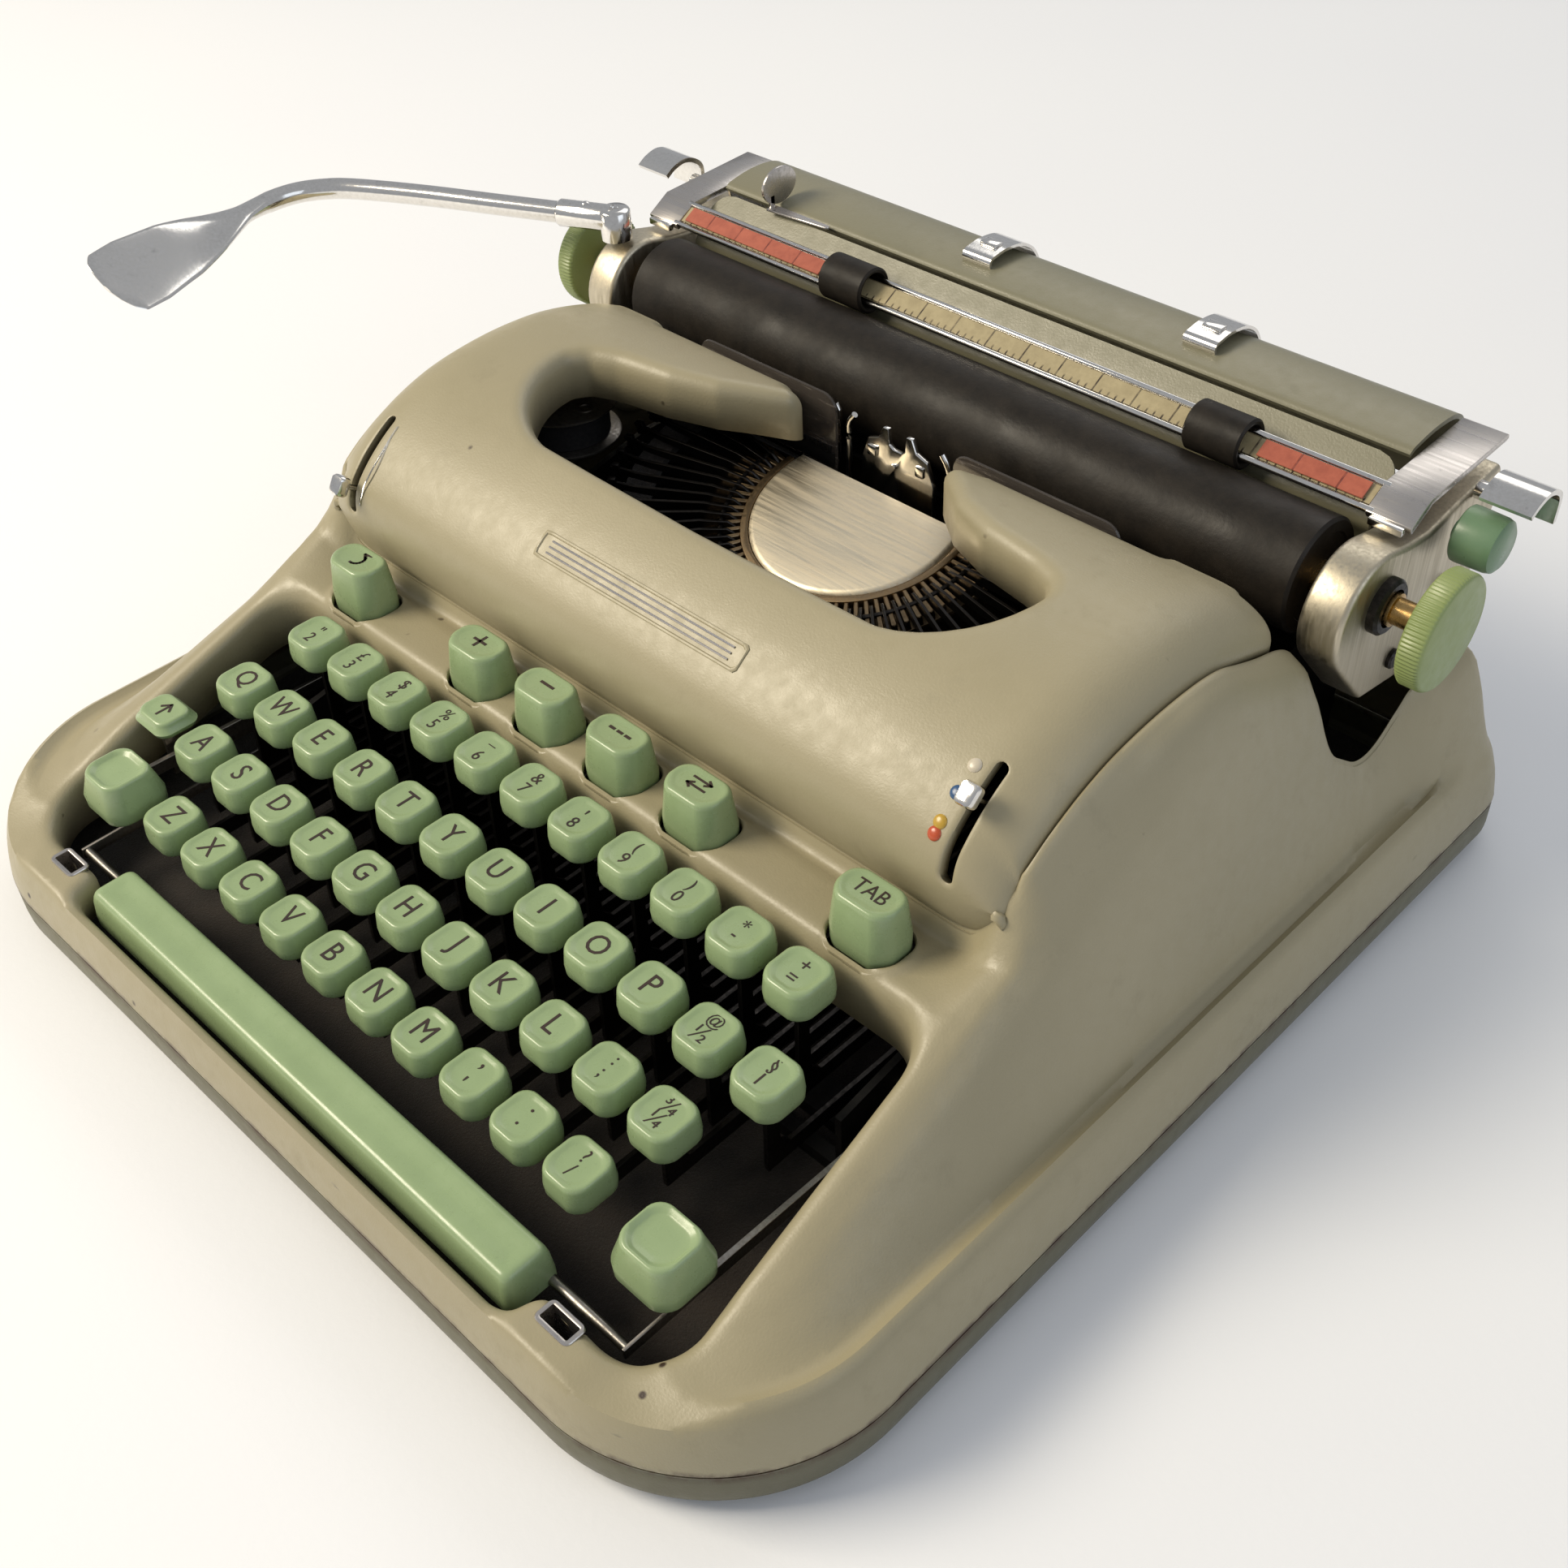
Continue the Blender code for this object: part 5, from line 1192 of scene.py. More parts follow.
def space_bar():
    bm = bmesh.new()
    shape = (
        (0.5, 19.0), (0.0, 19.4), (0.0, 22.0), (0.5, 27.4), (0.9, 29.0), (1.3, 29.9), (1.9, 30.5),
        (2.7, 30.75), (3.8, 30.7), (5.4, 30.45), (6.9, 30.3),
    )
    rings = []
    for inset, z in shape:
        radius = max(2.6 - inset * 0.3, 0.3)
        corner = min(radius, 7.35 - inset)
        plan = rounded_rectangle((0.0, -159.4), 89.6 - inset, 7.4 - inset, corner, 5)
        rings.append([(x, y, z) for x, y in plan])
    skin(bm, rings)
    sweep(bm, [(-115.4, -154.5, 20.4), (115.4, -154.5, 20.4)], 1.4, 10, index=1)
    for side in (-1, 1):
        low, high = sorted((side * 114.5, side * 115.5))
        block(bm, (low, -156.0, 18.6), (high, -58.0, 22.0), 0.2, 1)
        boss = ((0.0, 112.7), (2.3, 112.7), (2.3, 116.1), (0.0, 116.1))
        turned(bm, on_side(boss, side), (0.0, -60.0, 20.4), "X", 16, 1)
    piece("space_bar_moulding", bm, [MINT, STEEL], "space_bar", ["space_bar"])


def control_legend(bm, kind, x, z):
    y = CONTROL_Y + 0.4
    if kind == "TAB":
        add_legend(bm, "TAB", 6.2, x, y - 0.2, z, squeeze=0.86)
    elif kind == "plus":
        stroke(bm, [(x - 2.2, y), (x + 2.2, y)], z, 0.45)
        stroke(bm, [(x, y - 2.2), (x, y + 2.2)], z, 0.45)
    elif kind == "minus":
        stroke(bm, [(x - 2.2, y), (x + 2.2, y)], z, 0.45)
    elif kind == "dashes":
        for shift in (-2.9, 0.0, 2.9):
            stroke(bm, [(x + shift - 0.7, y), (x + shift + 0.7, y)], z, 0.45)
    elif kind == "arrows":
        for sign in (-1, 1):
            level = y + 1.3 * sign
            stroke(bm, [(x - 3.0, level), (x + 3.0, level)], z, 0.35)
            stroke(
                bm, [(x + sign * 1.5, level + 1.0), (x + sign * 3.0, level), (x + sign * 1.5, level - 1.0)],
                z, 0.35
            )
    else:
        points = arc((x - 0.5, y - 0.6), 2.4, -100, 60, 8)
        stroke(bm, points, z, 0.4)
        tip = points[-1]
        stroke(
            bm, [(tip[0] + 0.9, tip[1] - 1.0), (tip[0] - 1.2, tip[1] + 0.7), (tip[0] + 1.3, tip[1] + 1.2)],
            z, 0.4
        )


def control_keys():
    for name, x, top, kind in CONTROL_KEYS:
        bm = bmesh.new()
        skin(bm, cap_rings(x, CONTROL_Y, top, 9.6, 6.2, 18.0, 4.2, 0.9, 1.5, 0.4))
        block(bm, (x - 2.5, CONTROL_Y - 1.0, 44.0), (x + 2.5, CONTROL_Y + 1.0, 62.0), 0.2, 1)
        control_legend(bm, kind, x, top - 0.4 - 0.02)
        piece(f"{name}_cap", bm, [MINT, STEEL, LEGEND], name, [name])


# ---------------------------------------------------------------------------------------- inside the well


def well_fittings():
    """What shows between the keys: the brown comb plate behind them."""
    bm = bmesh.new()
    slab(bm, [(-113.0, 60.2), (-113.0, 14.0), (113.0, 14.0), (113.0, 60.2)], 68.6, 69.4, "Y", 0.2)
    piece("comb_plate", bm, PLATE_BROWN, "chassis")


# ---------------------------------------------------------------------------------------- type basket


def tilted(bm):
    """Tilts a flat piece of the basket about the segment's centre, front edge down."""
    centre = Vector(SEGMENT_CENTRE)
    turn = Matrix.Rotation(math.radians(SEGMENT_TILT), 4, "X")
    bmesh.ops.transform(
        bm, matrix=Matrix.Translation(centre) @ turn @ Matrix.Translation(-centre), verts=bm.verts
    )
    return bm


def bar_angles():
    return np.radians(174.0 + 192.0 * np.arange(TYPEBARS) / (TYPEBARS - 1))


def type_segment():
    """The slotted half ring, its plain inner ring, and the brushed disc in its middle."""
    cx, cy, cz = SEGMENT_CENTRE
    bm = bmesh.new()
    for outer, inner, low, high, rounding in ((46.0, 31.6, 8.0, 5.5, 0.3), (34.6, 32.2, 5.6, 1.6, 0.5)):
        outline = arc((cx, cy), outer, 168, 372, 60) + arc((cx, cy), inner, 372, 168, 44)
        slab(bm, outline, cz - low, cz - high, "Z", rounding)
    edges = np.degrees(bar_angles())
    pitch = edges[1] - edges[0]
    for start in np.concatenate([[edges[0] - pitch], edges]):
        low, high = start + pitch * 0.26, start + pitch * 0.74
        wedge = arc((cx, cy), 45.8, low, high, 2) + arc((cx, cy), 34.4, high, low, 2)
        slab(bm, wedge, cz - 5.6, cz - 2.0, "Z", 0.25, 1)
    block(bm, (cx - 14.0, cy - 12.0, cz - 26.0), (cx + 14.0, cy - 6.0, cz - 6.5), 0.6)
    piece("segment_ring", tilted(bm), BRONZE, "type_basket", ["type_segment"])
    bm = bmesh.new()
    rings = []
    for radius, z in (
        (32.0, cz - 5.2), (32.0, cz - 2.0), (31.4, cz - 1.3), (30.4, cz - 1.0), (22.0, cz - 0.95),
        (8.0, cz - 0.9)
    ):
        ring = []
        for x, y in arc((0.0, 0.0), radius, 150, 390, 56):
            bump = 6.0 * math.exp(-((x / 9.0) ** 2)) * radius / 32.0 if y > 0 else 0.0
            ring.append((cx + x, cy + min(y, 9.0 * radius / 32.0) + bump, z))
        rings.append(ring)
    skin(bm, rings)
    piece("segment_disc", tilted(bm), DISC, "type_basket")


def typebars():
    """Forty-four typebars lying in their rest, each with its type slug, and the wire that they turn on."""
    cx, cy, cz = SEGMENT_CENTRE
    level = cz + 1.0
    bm = bmesh.new()
    sweep(bm, [(x, y, level - 3.2) for x, y in arc((cx, cy), 40.5, 172, 368, 60)], 0.8, 8)
    for angle in bar_angles():
        reach = 80.0 - 25.0 * abs(math.sin(angle)) ** 2
        turn = Matrix.Translation((cx, cy, level)) @ Matrix.Rotation(angle, 4, "Z")
        own = bmesh.new()
        profile = [
            (35.5, -4.5), (38.0, -1.6), (46.0, 0.0), (reach - 6.0, 0.8), (reach, 2.2), (reach, -0.6),
            (reach - 8.0, -2.0), (44.0, -4.6)
        ]
        slab(own, profile, -0.42, 0.42, "Y", 0.08, 1)
        block(own, (reach - 0.8, -0.75, -1.6), (reach + 1.6, 0.75, 3.4), 0.15)
        block(own, (reach + 1.2, -0.95, 1.3), (reach + 2.0, 0.95, 2.9), 0.12)
        block(own, (reach + 1.2, -0.95, -1.3), (reach + 2.0, 0.95, 0.3), 0.12)
        bmesh.ops.transform(own, matrix=turn, verts=own.verts)
        merge(bm, own)
    piece("typebars", tilted(bm), BLACK_STEEL, "type_basket", ["typebar_set"])


def basket_rest():
    """The curved pad on which the typebars' heads rest, inside the cover."""
    cx, cy, cz = SEGMENT_CENTRE
    bm = bmesh.new()
    outer, inner = [], []
    for angle in np.radians(np.linspace(176, 364, 60)):
        reach = 77.0 - 25.0 * abs(math.sin(angle)) ** 2
        outer.append((cx + (reach + 3.0) * math.cos(angle), cy + (reach + 3.0) * math.sin(angle)))
        inner.append((cx + (reach - 6.0) * math.cos(angle), cy + (reach - 6.0) * math.sin(angle)))
    slab(bm, outer + inner[::-1], cz - 7.0, cz - 4.5, "Z", 0.3)
    piece("typebar_rest", tilted(bm), FELT, "type_basket")


def type_guide():
    """The fork in front of the platen between whose jaws each type lands, with its hooks and ribbon posts."""
    bm = bmesh.new()
    y = GUIDE_Y
    plate = [
        (-13.0, 71.0), (13.0, 71.0), (13.5, 92.0), (11.0, 99.0), (7.0, 100.5), (5.4, 104.4), (3.4, 104.4),
        (3.0, 99.5)
    ]
    plate += [
        (1.5, 98.4), (-1.5, 98.4), (-3.0, 99.5), (-3.4, 104.4), (-5.4, 104.4), (-7.0, 100.5),
        (-11.0, 99.0), (-13.5, 92.0)
    ]
    slab(bm, plate, y + 0.2, y + 1.9, "Y", 0.3)
    for side in (-1, 1):
        block(bm, (side * 9.0 - 1.6, y - 0.8, 94.0), (side * 9.0 + 1.6, y + 1.0, 97.4), 0.5)
        post = ((19.0, 1.0, 80.0), (19.0, 1.0, 96.0), (18.4, 0.6, 101.0), (16.4, 0.6, 104.0))
        sweep(bm, smooth_path([(side * px, y + py, pz) for px, py, pz in post], 14), 0.95, 10)
        hook = ((22.0, 88.0), (25.0, 88.0), (25.4, 103.0), (23.6, 105.0), (22.2, 103.0))
        slab(bm, [(side * px, pz) for px, pz in hook], y + 0.4, y + 1.6, "Y", 0.25)
    sweep(bm, [(-1.2, y + 0.1, 93.2), (-1.2, y - 0.6, 93.2)], 0.9, 12, up=(0, 0, 1))
    piece("type_guide_fork", bm, CHROME, "chassis", ["type_guide"])
    bm = bmesh.new()
    block(bm, (-70.0, y + 0.2, 66.0), (70.0, y + 2.2, 80.0), 0.3)
    piece("guide_bar", bm, BLACK, "chassis")


def card_holders():
    """Two smoked transparent plates with a thicker rim, a serrated foot and a small wire hook."""
    for side_name, side in (("left", -1), ("right", 1)):
        y = GUIDE_Y
        outline = [(22.0, 84.0), (78.0, 84.0), (78.0, 101.0)] + arc((73.0, 103.0), 5.0, 0, 90, 5)
        outline += [(28.0, 108.0)] + arc((27.0, 103.0), 5.0, 90, 180, 5)
        flat = [(side * x, z) for x, z in outline]
        bm = bmesh.new()
        slab(bm, flat, y - 1.5, y - 0.5, "Y", 0.2, 2, 0)
        path = [(side * 22.3, y - 1.0, 86.0), (side * 22.3, y - 1.0, 103.0)] + [
            (side * x, y - 1.0, z) for x, z in arc((27.0, 103.0), 4.7, 180, 90, 5)
        ]
        path += [(side * 73.0, y - 1.0, 107.7)] + [
            (side * x, y - 1.0, z) for x, z in arc((73.0, 103.0), 4.7, 90, 0, 5)
        ] + [(side * 77.7, y - 1.0, 86.0)]
        sweep(bm, path, 0.55, 6, index=0, up=(0, 1, 0))
        for x in np.arange(24.0, 77.0, 1.9):
            low, high = sorted((side * x, side * (x + 1.0)))
            block(bm, (low, y - 2.1, 89.4), (high, y - 1.3, 91.4), 0.1, 1)
        low, high = sorted((side * 22.5, side * 77.5))
        block(bm, (low, y - 1.9, 85.0), (high, y - 0.9, 89.6), 0.2, 1)
        hook = smooth_path(
            [
                (side * 62.0, y - 1.6, 90.0), (side * 62.0, y - 3.0, 94.5), (side * 60.0, y - 3.4, 96.4),
                (side * 57.6, y - 2.6, 95.4)
            ],
            14
        )
        sweep(bm, hook, 0.5, 8, index=2)
        piece(
            f"card_plate_{side_name}", bm, [SMOKED, BLACK, CHROME], "chassis",
            [f"card_holder_{side_name}"]
        )


def ribbon_spools():
    for name, side in (("ribbon_spool_left", -1), ("ribbon_spool_right", 1)):
        place = (side * 104.0, 24.0, 0.0)
        bm = bmesh.new()
        profile = [
            (0.0, 92.4), (2.2, 92.4), (2.6, 92.9), (5.0, 92.9), (5.4, 92.6), (16.4, 92.6), (17.0, 92.3),
            (17.0, 91.9), (16.4, 91.7), (3.0, 91.7)
        ]
        turned(bm, profile, place, "Z", 40, 0)
        turned(
            bm, [(3.0, 81.3), (16.4, 81.3), (17.0, 81.0), (17.0, 80.4), (16.4, 80.1), (0.0, 80.1)], place,
            "Z", 40, 0
        )
        wound = [(3.0, 81.4)] + [(13.6 + 0.16 * (i % 2), 81.5 + i * 0.5) for i in range(21)] + [(3.0, 91.6)]
        turned(bm, wound, place, "Z", 40, 1)
        for angle in np.radians((0, 120, 240)):
            x, y = place[0] + 10.5 * math.cos(angle), place[1] + 10.5 * math.sin(angle)
            turned(
                bm, [(0.0, 92.5), (2.6, 92.5), (2.6, 92.95), (1.9, 92.95), (1.9, 92.7), (0.0, 92.7)],
                (x, y, 0.0), "Z", 20, 0
            )
        piece(f"{name}_wound", bm, [STEEL, RIBBON], name, [name])


# ---------------------------------------------------------------------------------------- carriage


def casting_outline():
    """Side view of an end casting, as (y, z): a nose by the platen, a leg and a long arm behind."""
    nose = arc((82.0, 98.0), 17.0, 215, 80, 18)
    arm = [(94.0, 112.5), (104.0, 111.0), (138.0, 115.5), (141.0, 108.0), (132.0, 66.0)]
    return [(104.0, 66.0), (84.0, 69.5)] + nose + arm


def carriage_frame():
    """The end castings, the bars that join them, and the screws and rings on their outer faces."""
    bm = bmesh.new()
    for side in (-1, 1):
        low, high = sorted((side * CASTING_X[0], side * CASTING_X[1]))
        slab(bm, casting_outline(), low, high, "X", 1.6, 4)
    for low, high in (
        ((-130.0, 110.0, 66.0), (130.0, 126.0, 72.0)), ((-60.0, 110.0, 65.0), (60.0, 114.5, 67.0))
    ):
        block(bm, low, high, 0.5)
    block(bm, (-124.4, 128.2, 68.0), (124.4, 130.0, 98.5), 0.4)
    block(bm, (-60.0, 124.0, 68.0), (60.0, 129.0, 71.0), 0.4)
    piece("carriage_castings", bm, CAST, "carriage", ["carriage_frame"])
    bm = bmesh.new()
    screw = ((0.0, 139.0), (2.8, 139.0), (2.8, 140.0), (2.3, 140.5), (0.6, 140.5), (0.5, 140.1), (0.0, 140.1))
    bearing = ((5.6, 139.0), (7.6, 139.0), (7.6, 141.2), (6.8, 142.0), (5.2, 142.0), (5.2, 139.0))
    for side in (-1, 1):
        for y, z in ((118.0, 88.0), (97.0, 76.0)):
            turned(bm, on_side(screw, side), (0.0, y, z), "X", 20)
        turned(bm, on_side(bearing, side), (0.0, *AXIS), "X", 32)
    piece("carriage_screws", bm, BLACK_STEEL, "carriage")


def platen():
    bm = bmesh.new()
    end = PLATEN_HALF
    profile = [
        (4.4, -end + 0.5), (12.0, -end + 0.5), (12.4, -end), (15.2, -end), (16.0, -end + 0.9),
        (16.0, end - 0.9), (15.2, end), (12.4, end), (12.0, end - 0.5), (4.4, end - 0.5)
    ]
    turned(bm, profile, (0.0, *AXIS), "X", 72, 0)
    shaft = ((4.5, end - 1.0), (4.5, 143.0), (3.6, 143.2), (3.6, 150.8), (3.0, 151.2), (0.0, 151.2))
    for side in (-1, 1):
        turned(bm, on_side(shaft, side), (0.0, *AXIS), "X", 32, 1)
    piece("platen_roller_cover", bm, [PLATEN, BRASS], "platen_roller", ["platen"])


def platen_knobs():
    """Green knobs with a fine straight rib all round and a plain, slightly crowned face."""
    near, far = KNOB_X
    ribs = 84
    for name, side in (("platen_knob_left", -1), ("platen_knob_right", 1)):
        bm = bmesh.new()
        steps = ribs * 4
        edge = KNOB_RADIUS - 0.25
        profile = (
            (4.0, near + 0.8, 0), (6.0, near, 0), (edge - 1.1, near, 0), (edge - 0.4, near + 0.3, 0.4),
            (edge, near + 0.9, 1), (edge, far - 1.5, 1), (edge - 0.1, far - 0.9, 0.4),
            (edge - 0.4, far - 0.4, 0), (edge - 1.1, far - 0.1, 0), (8.0, far, 0), (0.01, far, 0),
        )
        rings = []
        for radius, x, rib in profile:
            ring = []
            for k in range(steps):
                angle = 2 * math.pi * k / steps
                r = radius + rib * 0.25 * (1.0 if k % 4 in (1, 2) else -1.0)
                ring.append((side * x, AXIS[0] + r * math.cos(angle), AXIS[1] + r * math.sin(angle)))
            rings.append(ring)
        skin(bm, rings)
        piece(f"{name}_ribbed", bm, KNOB, "platen_roller", [name], 60.0)


def bent_sheet(bm, profile, low_x, high_x, thick, corner=0.0):
    """A bent metal sheet: its side view as (y, z), its width and thickness, with rounded upper corners."""
    points = smooth_path(profile, 60)
    along = np.gradient(points, axis=0)
    along /= np.hypot(along[:, 0], along[:, 1])[:, None]
    normal = np.stack([-along[:, 1], along[:, 0]], axis=1)
    inner = points - normal * thick
    stations = np.linspace(0.0, 1.0, 41)
    reach = np.concatenate([[0.0], np.cumsum(np.hypot(*np.diff(points, axis=0).T))])
    rings = []
    for (y, z), (y_in, z_in), s in zip(points, inner, reach):
        cutback = 0.0
        if corner and s < corner:
            cutback = corner - math.sqrt(max(corner**2 - (corner - s) ** 2, 0.0))
        xs = (low_x + cutback) + (high_x - low_x - 2 * cutback) * stations
        rings.append([(x, y, z) for x in xs] + [(x, y_in, z_in) for x in xs[::-1]])
    skin(bm, rings)


def paper_table():
    cy, cz = AXIS
    radius = PLATEN_RADIUS + 2.6
    profile = [(113.0, 122.0), (107.0, 116.5)]
    profile += [(cy + radius * math.cos(a), cz + radius * math.sin(a)) for a in np.radians((30, 8, -15, -45))]
    bm = bmesh.new()
    bent_sheet(bm, profile, -SHEET_HALF, SHEET_HALF, -1.2, corner=7.0)
    piece("paper_table_sheet", bm, TABLE, "carriage", ["paper_table"])


def rear_shield():
    profile = [
        (115.2, 122.4), (118.0, 123.8), (128.0, 125.0), (138.0, 124.0), (143.5, 120.0), (146.0, 112.0),
        (145.5, 98.0)
    ]
    bm = bmesh.new()
    bent_sheet(bm, profile, -SHEET_HALF, SHEET_HALF, 1.4)
    piece("rear_shield_sheet", bm, TABLE, "carriage", ["rear_shield"])


def on_bail(along, out=0.0):
    tilt = math.radians(BAIL_TILT)
    y, z = BAIL_CENTRE
    return (
        y + along * math.cos(tilt) - out * math.sin(tilt), z + along * math.sin(tilt) + out * math.cos(tilt)
    )


def paper_bail():
    """The chrome rail with its printed scale, and its two end arms."""
    bm = bmesh.new()
    section = [
        (-4.8, -0.5), (-4.5, -0.8), (4.5, -0.8), (4.8, -0.5), (4.8, 0.6), (4.4, 1.0), (3.6, 1.0),
        (3.1, 0.5), (3.0, 0.2)
    ]
    section += [(-3.0, 0.2), (-3.1, 0.5), (-3.6, 1.0), (-4.4, 1.0), (-4.8, 0.6)]
    slab(bm, [on_bail(a, o) for a, o in section], -RULER_HALF - 1.0, RULER_HALF + 1.0, "X", 0.12, 1, 0)
    for side in (-1, 1):
        low, high = sorted((side * 125.2, side * 138.0))
        arm = [
            on_bail(-5.2, 0.5), on_bail(-4.9, 0.9), on_bail(4.4, 0.9), (139.0, 123.0), (140.0, 122.6),
            (140.2, 121.4), (139.0, 121.0), on_bail(4.4, -1.5), on_bail(-5.2, -1.5)
        ]
        slab(bm, arm, low, high, "X", 0.5, 2, 1)
        web = [(118.0, 120.0), (136.0, 121.4), (132.0, 99.6), (131.0, 98.9), (125.0, 98.9), (124.0, 99.6)]
        low, high = sorted((side * 124.9, side * 126.3))
        slab(bm, web, low, high, "X", 0.3, 1, 1)
        low, high = sorted((side * 127.0, side * 136.6))
        bail_y, bail_z = BAIL_CENTRE
        block(bm, (low, bail_y - 6.4, bail_z - 4.2), (high, bail_y - 4.4, bail_z - 2.0), 0.4)
    piece("scale_rail", bm, [CHROME, SATIN], "paper_bail", ["paper_bail"])
    bm = bmesh.new()
    slab(
        bm, [on_bail(a, o) for a, o in ((-2.8, 0.25), (2.8, 0.25), (2.8, 0.5), (-2.8, 0.5))],
        -RULER_HALF + 1.0, RULER_HALF - 1.0, "X"
    )
    piece("scale_print", bm, CREAM, "paper_bail")


def bail_rollers():
    for name, x in (("bail_roller_left", -52.0), ("bail_roller_right", 80.0)):
        bm = bmesh.new()
        profile = [
            (5.6, x - 8.3), (6.4, x - 8.5), (7.0, x - 7.9), (7.0, x + 7.9), (6.4, x + 8.5), (5.6, x + 8.3)
        ]
        turned(
            bm, [(5.5, x - 8.2)] + profile + [(5.5, x + 8.2), (5.5, x - 8.2)], (0.0, *BAIL_CENTRE), "X", 40
        )
        piece(f"{name}_tyre", bm, PLATEN, name, [name])


def margin_strips():
    for name, low, high in (("margin_strip_left", -123.0, -64.0), ("margin_strip_right", 92.0, 123.0)):
        bm = bmesh.new()
        slab(
            bm, [on_bail(a, o) for a, o in ((-2.6, 1.0), (2.6, 1.0), (2.6, 1.5), (-2.6, 1.5))], low, high,
            "X", 0.12, 1
        )
        piece(f"{name}_print", bm, RED, name, [name])


def margin_stops():
    """The chrome clips that ride on the crest of the rear shield, curled over in front."""
    path = [
        (122.4, 124.6), (121.9, 126.0), (122.8, 127.6), (125.4, 128.2), (130.0, 128.6), (137.0, 127.6),
        (142.4, 124.6), (145.6, 120.4), (146.6, 117.2)
    ]
    for name, x in (("margin_stop_left", -24.0), ("margin_stop_right", 55.0)):
        bm = bmesh.new()
        bent_sheet(bm, path, x - 5.3, x + 5.3, 0.9)
        block(bm, (x - 3.0, 127.0, 128.2), (x + 3.0, 131.0, 129.6), 0.6)
        piece(f"{name}_clip", bm, CHROME, name, [name])


def return_lever():
    """A chrome tube from its pivot on the left casting, bent forward and flattened to a polished spoon."""
    px, py, z = -134.0, 76.0, 122.5
    bm = bmesh.new()
    turned(
        bm,
        [(0.0, 116.3), (5.0, 116.3), (5.0, 125.4), (4.4, 126.0), (1.6, 126.0), (1.4, 125.6), (0.0, 125.6)],
        (px, py, 0.0), "Z", 32
    )
    sweep(
        bm, [(px - 1.0, py - 0.5, z), (px - 17.0, py - 8.0, z), (px - 17.6, py - 8.3, z)], [4.3, 4.3, 3.9],
        20
    )
    turned(
        bm, [(0.0, z + 3.6), (1.5, z + 3.6), (1.3, z + 4.3), (0.6, z + 4.6), (0.0, z + 4.6)],
        (px - 9.0, py - 4.2, 0.0), "Z", 16
    )
    line = [
        (px - 10.0, py - 4.7), (px - 36.0, py - 16.9), (px - 62.0, py - 29.0), (px - 84.0, py - 41.0),
        (px - 92.0, py - 48.0), (px - 96.5, py - 56.0), (px - 97.4, py - 66.0)
    ]
    line += [
        (px - 95.5, py - 79.0), (px - 92.0, py - 94.0), (px - 88.0, py - 112.0), (px - 84.4, py - 127.0),
        (px - 82.4, py - 133.6)
    ]
    stations = 110
    path = smooth_path([(x, y, z) for x, y in line], stations)
    at = np.linspace(0.0, 1.0, stations)
    wide = np.interp(
        at, (0, 0.56, 0.62, 0.70, 0.78, 0.86, 0.93, 0.97, 0.99, 1.0),
        (3.4, 3.4, 4.2, 7.4, 10.7, 12.4, 12.0, 9.2, 5.8, 1.6)
    )
    thick = np.interp(at, (0, 0.54, 0.62, 0.72, 0.84, 1.0), (3.4, 3.3, 2.3, 1.3, 0.95, 0.5))
    lean = -SPOON_TILT * smoothstep(0.55, 0.78, at)
    sweep(bm, path, list(wide), 28, list(thick), lean=list(lean))
    piece("return_lever_spoon", bm, CHROME, "return_lever", ["return_lever"], 60.0)


def release_levers():
    for name, side in (("carriage_release_left", -1), ("carriage_release_right", 1)):
        bm = bmesh.new()
        path = [
            (109.4, 122.2), (113.0, 124.2), (118.0, 125.2), (123.0, 123.6), (126.2, 120.0), (126.4, 112.6)
        ]
        low, high = sorted((side * 146.2, side * 160.0))
        bent_sheet(bm, path, low, high, 1.5)
        pin = ((0.0, 139.4), (2.5, 139.4), (2.5, 150.0), (0.0, 150.0))
        turned(bm, on_side(pin, side), (0.0, 125.0, 114.2), "X", 20)
        piece(f"{name}_paddle", bm, CHROME, name, [name])


def side_button():
    bm = bmesh.new()
    profile = [
        (0.0, 141.7), (2.8, 141.7), (2.8, 143.4), (7.0, 143.4), (7.5, 143.9), (7.6, 145.0), (7.4, 152.6),
        (7.0, 154.0), (5.8, 154.8), (0.0, 155.0)
    ]
    turned(bm, profile, (0.0, 111.8, 109.6), "X", 40)
    piece("side_button_cap", bm, BUTTON, "line_space_button", ["line_space_button"])


def paper_edge_guide():
    bm = bmesh.new()
    tip = arc((-77.2, 113.5), 1.1, -70, 60, 4)
    slab(bm, [(-100.4, 110.3)] + tip + [(-97.0, 114.5), (-100.4, 114.3)], 123.0, 123.7, "Z", 0.15, 1)
    oval = [
        (116.0 + 7.4 * math.cos(a), 129.9 + 5.9 * math.sin(a)) for a in np.radians(np.arange(0, 360, 10.0))
    ]
    slab(bm, oval, -100.6, -99.5, "X", 0.3, 2)
    block(bm, (-100.6, 111.6, 123.2), (-99.5, 113.6, 127.6), 0.2)
    piece("edge_guide_plate", bm, [SATIN], "paper_edge_guide", ["paper_edge_guide"])


def cad_materials():
    """The plain inner steelwork stays as the CAD made it, with its finishes."""
    for name, finish in (("main_frame", BLACK), ("key_lever_shaft", STEEL), ("carriage_rail", STEEL)):
        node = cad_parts[name]
        node.data.materials.clear()
        node.data.materials.append(finish)


# ---------------------------------------------------------------------------------------- stage

LENS = 41.665
CAMERA_AZIMUTH = 46.19
CAMERA_ELEVATION = 41.84
CAMERA_ROLL = -2.66
CAMERA_PLACE = (294.85, -272.74, 371.65)


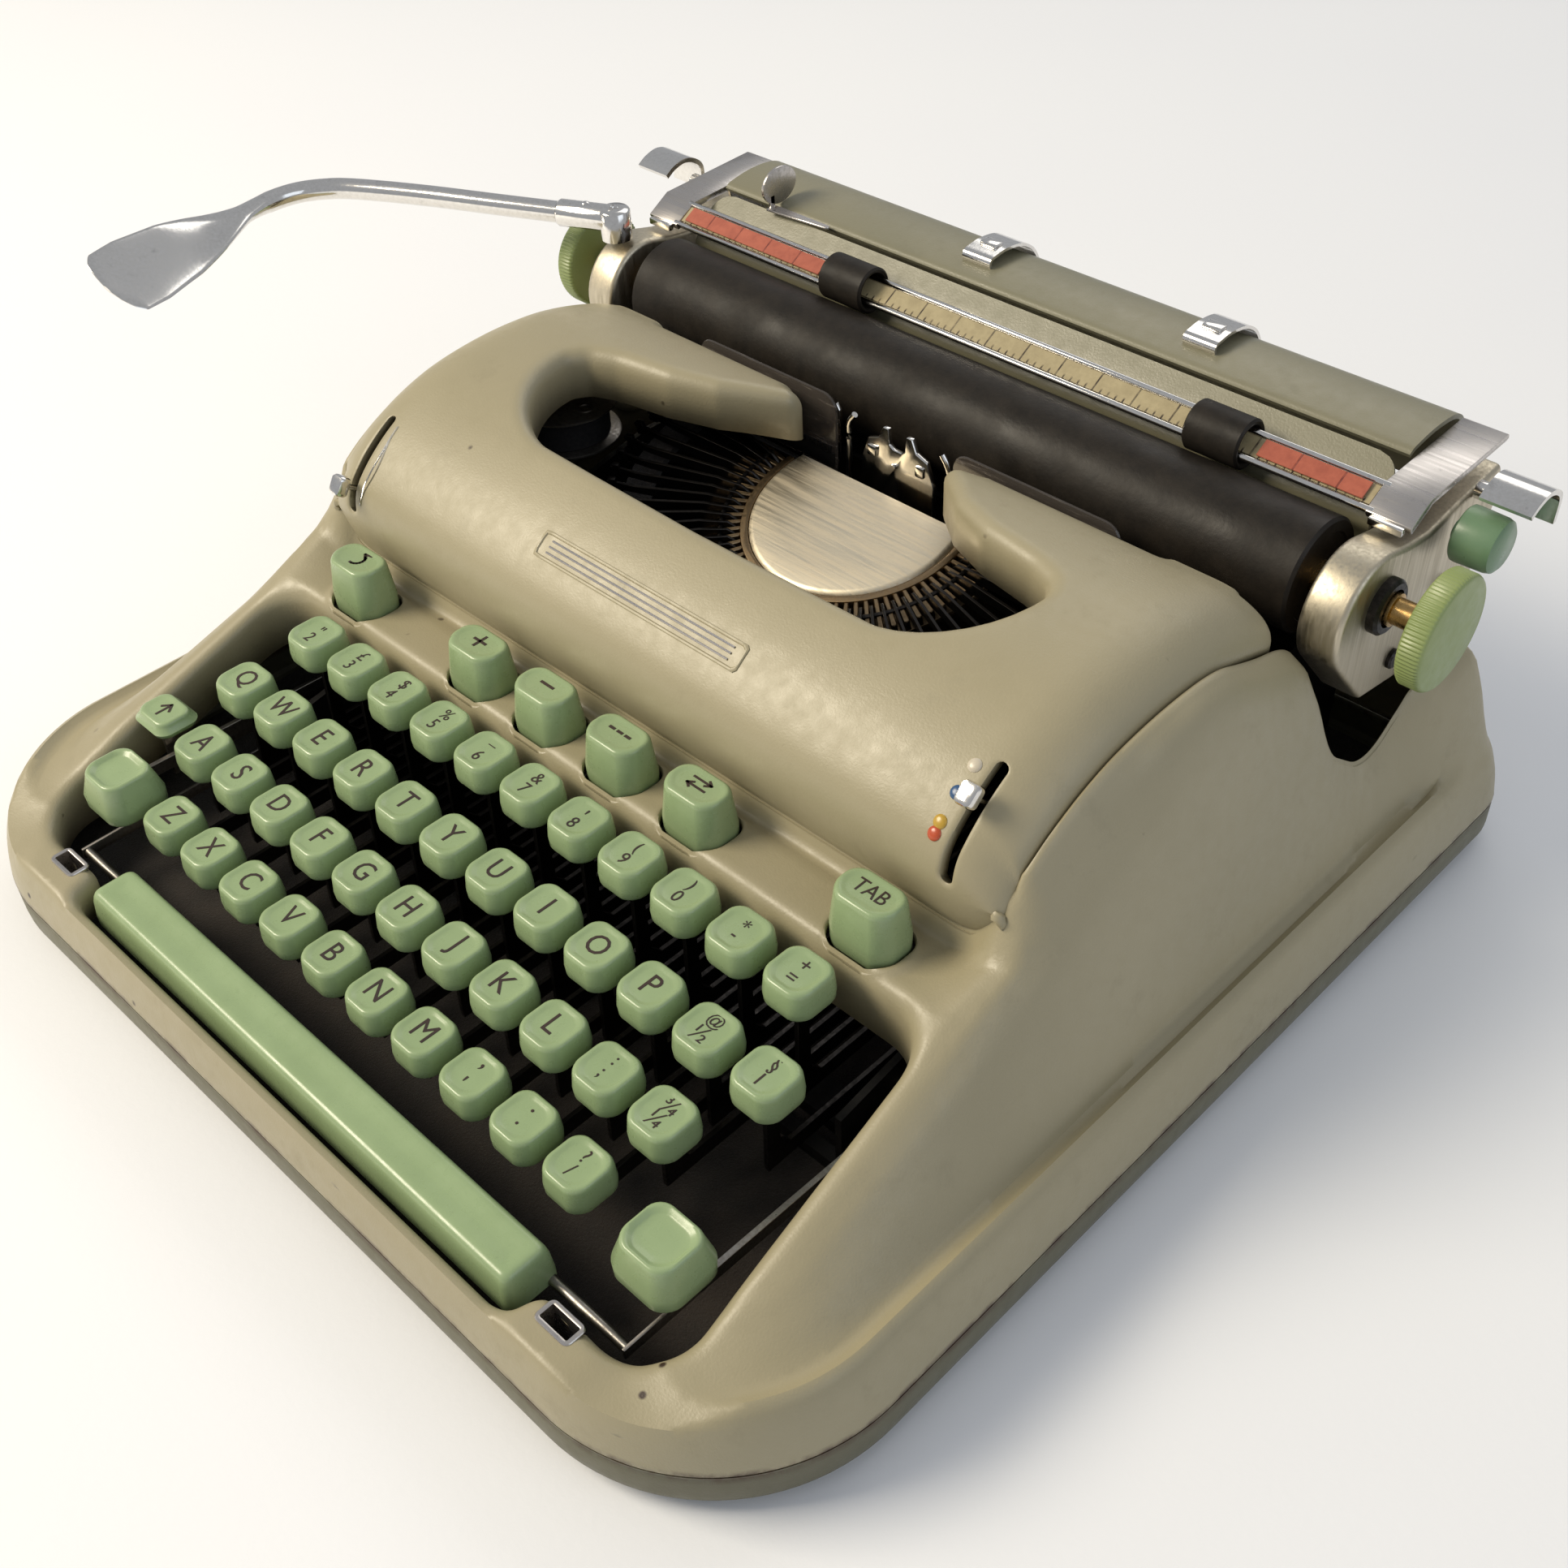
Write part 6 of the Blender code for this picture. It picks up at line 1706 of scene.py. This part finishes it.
def camera():
    azimuth, elevation, roll = (math.radians(a) for a in (CAMERA_AZIMUTH, CAMERA_ELEVATION, CAMERA_ROLL))
    back = Vector(
        (
            math.sin(azimuth) * math.cos(elevation), -math.cos(azimuth) * math.cos(elevation),
            math.sin(elevation)
        )
    )
    level = Vector((math.cos(azimuth), math.sin(azimuth), 0.0))
    upward = back.cross(level)
    right = level * math.cos(roll) + upward * math.sin(roll)
    up = upward * math.cos(roll) - level * math.sin(roll)
    data = bpy.data.cameras.new("camera")
    data.lens = LENS
    data.sensor_width = 36.0
    data.clip_start, data.clip_end = 0.01, 50.0
    obj = bpy.data.objects.new("camera", data)
    turn = Matrix((right, up, back)).transposed()
    obj.matrix_world = Matrix.Translation(to_world(CAMERA_PLACE)) @ turn.to_4x4()
    bpy.context.scene.collection.objects.link(obj)
    bpy.context.scene.camera = obj


def area_light(name, place, aim, size, power, colour):
    data = bpy.data.lights.new(name, "AREA")
    data.shape = "RECTANGLE"
    data.size, data.size_y = size
    data.energy = power
    data.color = colour
    obj = bpy.data.objects.new(name, data)
    obj.location = Vector(place)
    obj.rotation_mode = "QUATERNION"
    obj.rotation_quaternion = (Vector(aim) - Vector(place)).to_track_quat("-Z", "Y")
    bpy.context.scene.collection.objects.link(obj)


def stage():
    bm = bmesh.new()
    bmesh.ops.create_grid(bm, x_segments=8, y_segments=8, size=6.0)
    mesh = bpy.data.meshes.new("floor")
    bm.to_mesh(mesh)
    bm.free()
    floor = bpy.data.objects.new("floor", mesh)
    mesh.materials.append(floor_paint("floor_paint"))
    bpy.context.scene.collection.objects.link(floor)
    area_light("key_light", (-0.95, -0.95, 1.25), (0.0, 0.0, 0.05), (0.9, 0.7), 33.0, (1.0, 0.90, 0.72))
    area_light("cool_fill", (1.5, 0.1, 0.9), (0.0, 0.0, 0.05), (1.2, 1.0), 3.5, (0.80, 0.89, 1.0))
    area_light("rear_light", (-0.3, 1.4, 1.3), (0.0, 0.1, 0.1), (1.6, 0.8), 6.0, (1.0, 0.97, 0.92))
    world = bpy.data.worlds.new("studio")
    world.use_nodes = True
    background = world.node_tree.nodes["Background"]
    background.inputs["Color"].default_value = (0.92, 0.95, 1.0, 1.0)
    background.inputs["Strength"].default_value = 0.42
    bpy.context.scene.world = world
    bpy.context.scene.view_settings.view_transform = "Standard"


camera()
stage()
cad_materials()
base_tray()
rubber_feet()
body_shell()
top_cover()
cover_badge()
slot_levers()
latch_sockets()
key_groups()
shift_keys()
space_bar()
control_keys()
well_fittings()
type_segment()
typebars()
basket_rest()
type_guide()
card_holders()
ribbon_spools()
carriage_frame()
platen()
platen_knobs()
paper_table()
rear_shield()
paper_bail()
bail_rollers()
margin_strips()
margin_stops()
return_lever()
release_levers()
side_button()
paper_edge_guide()
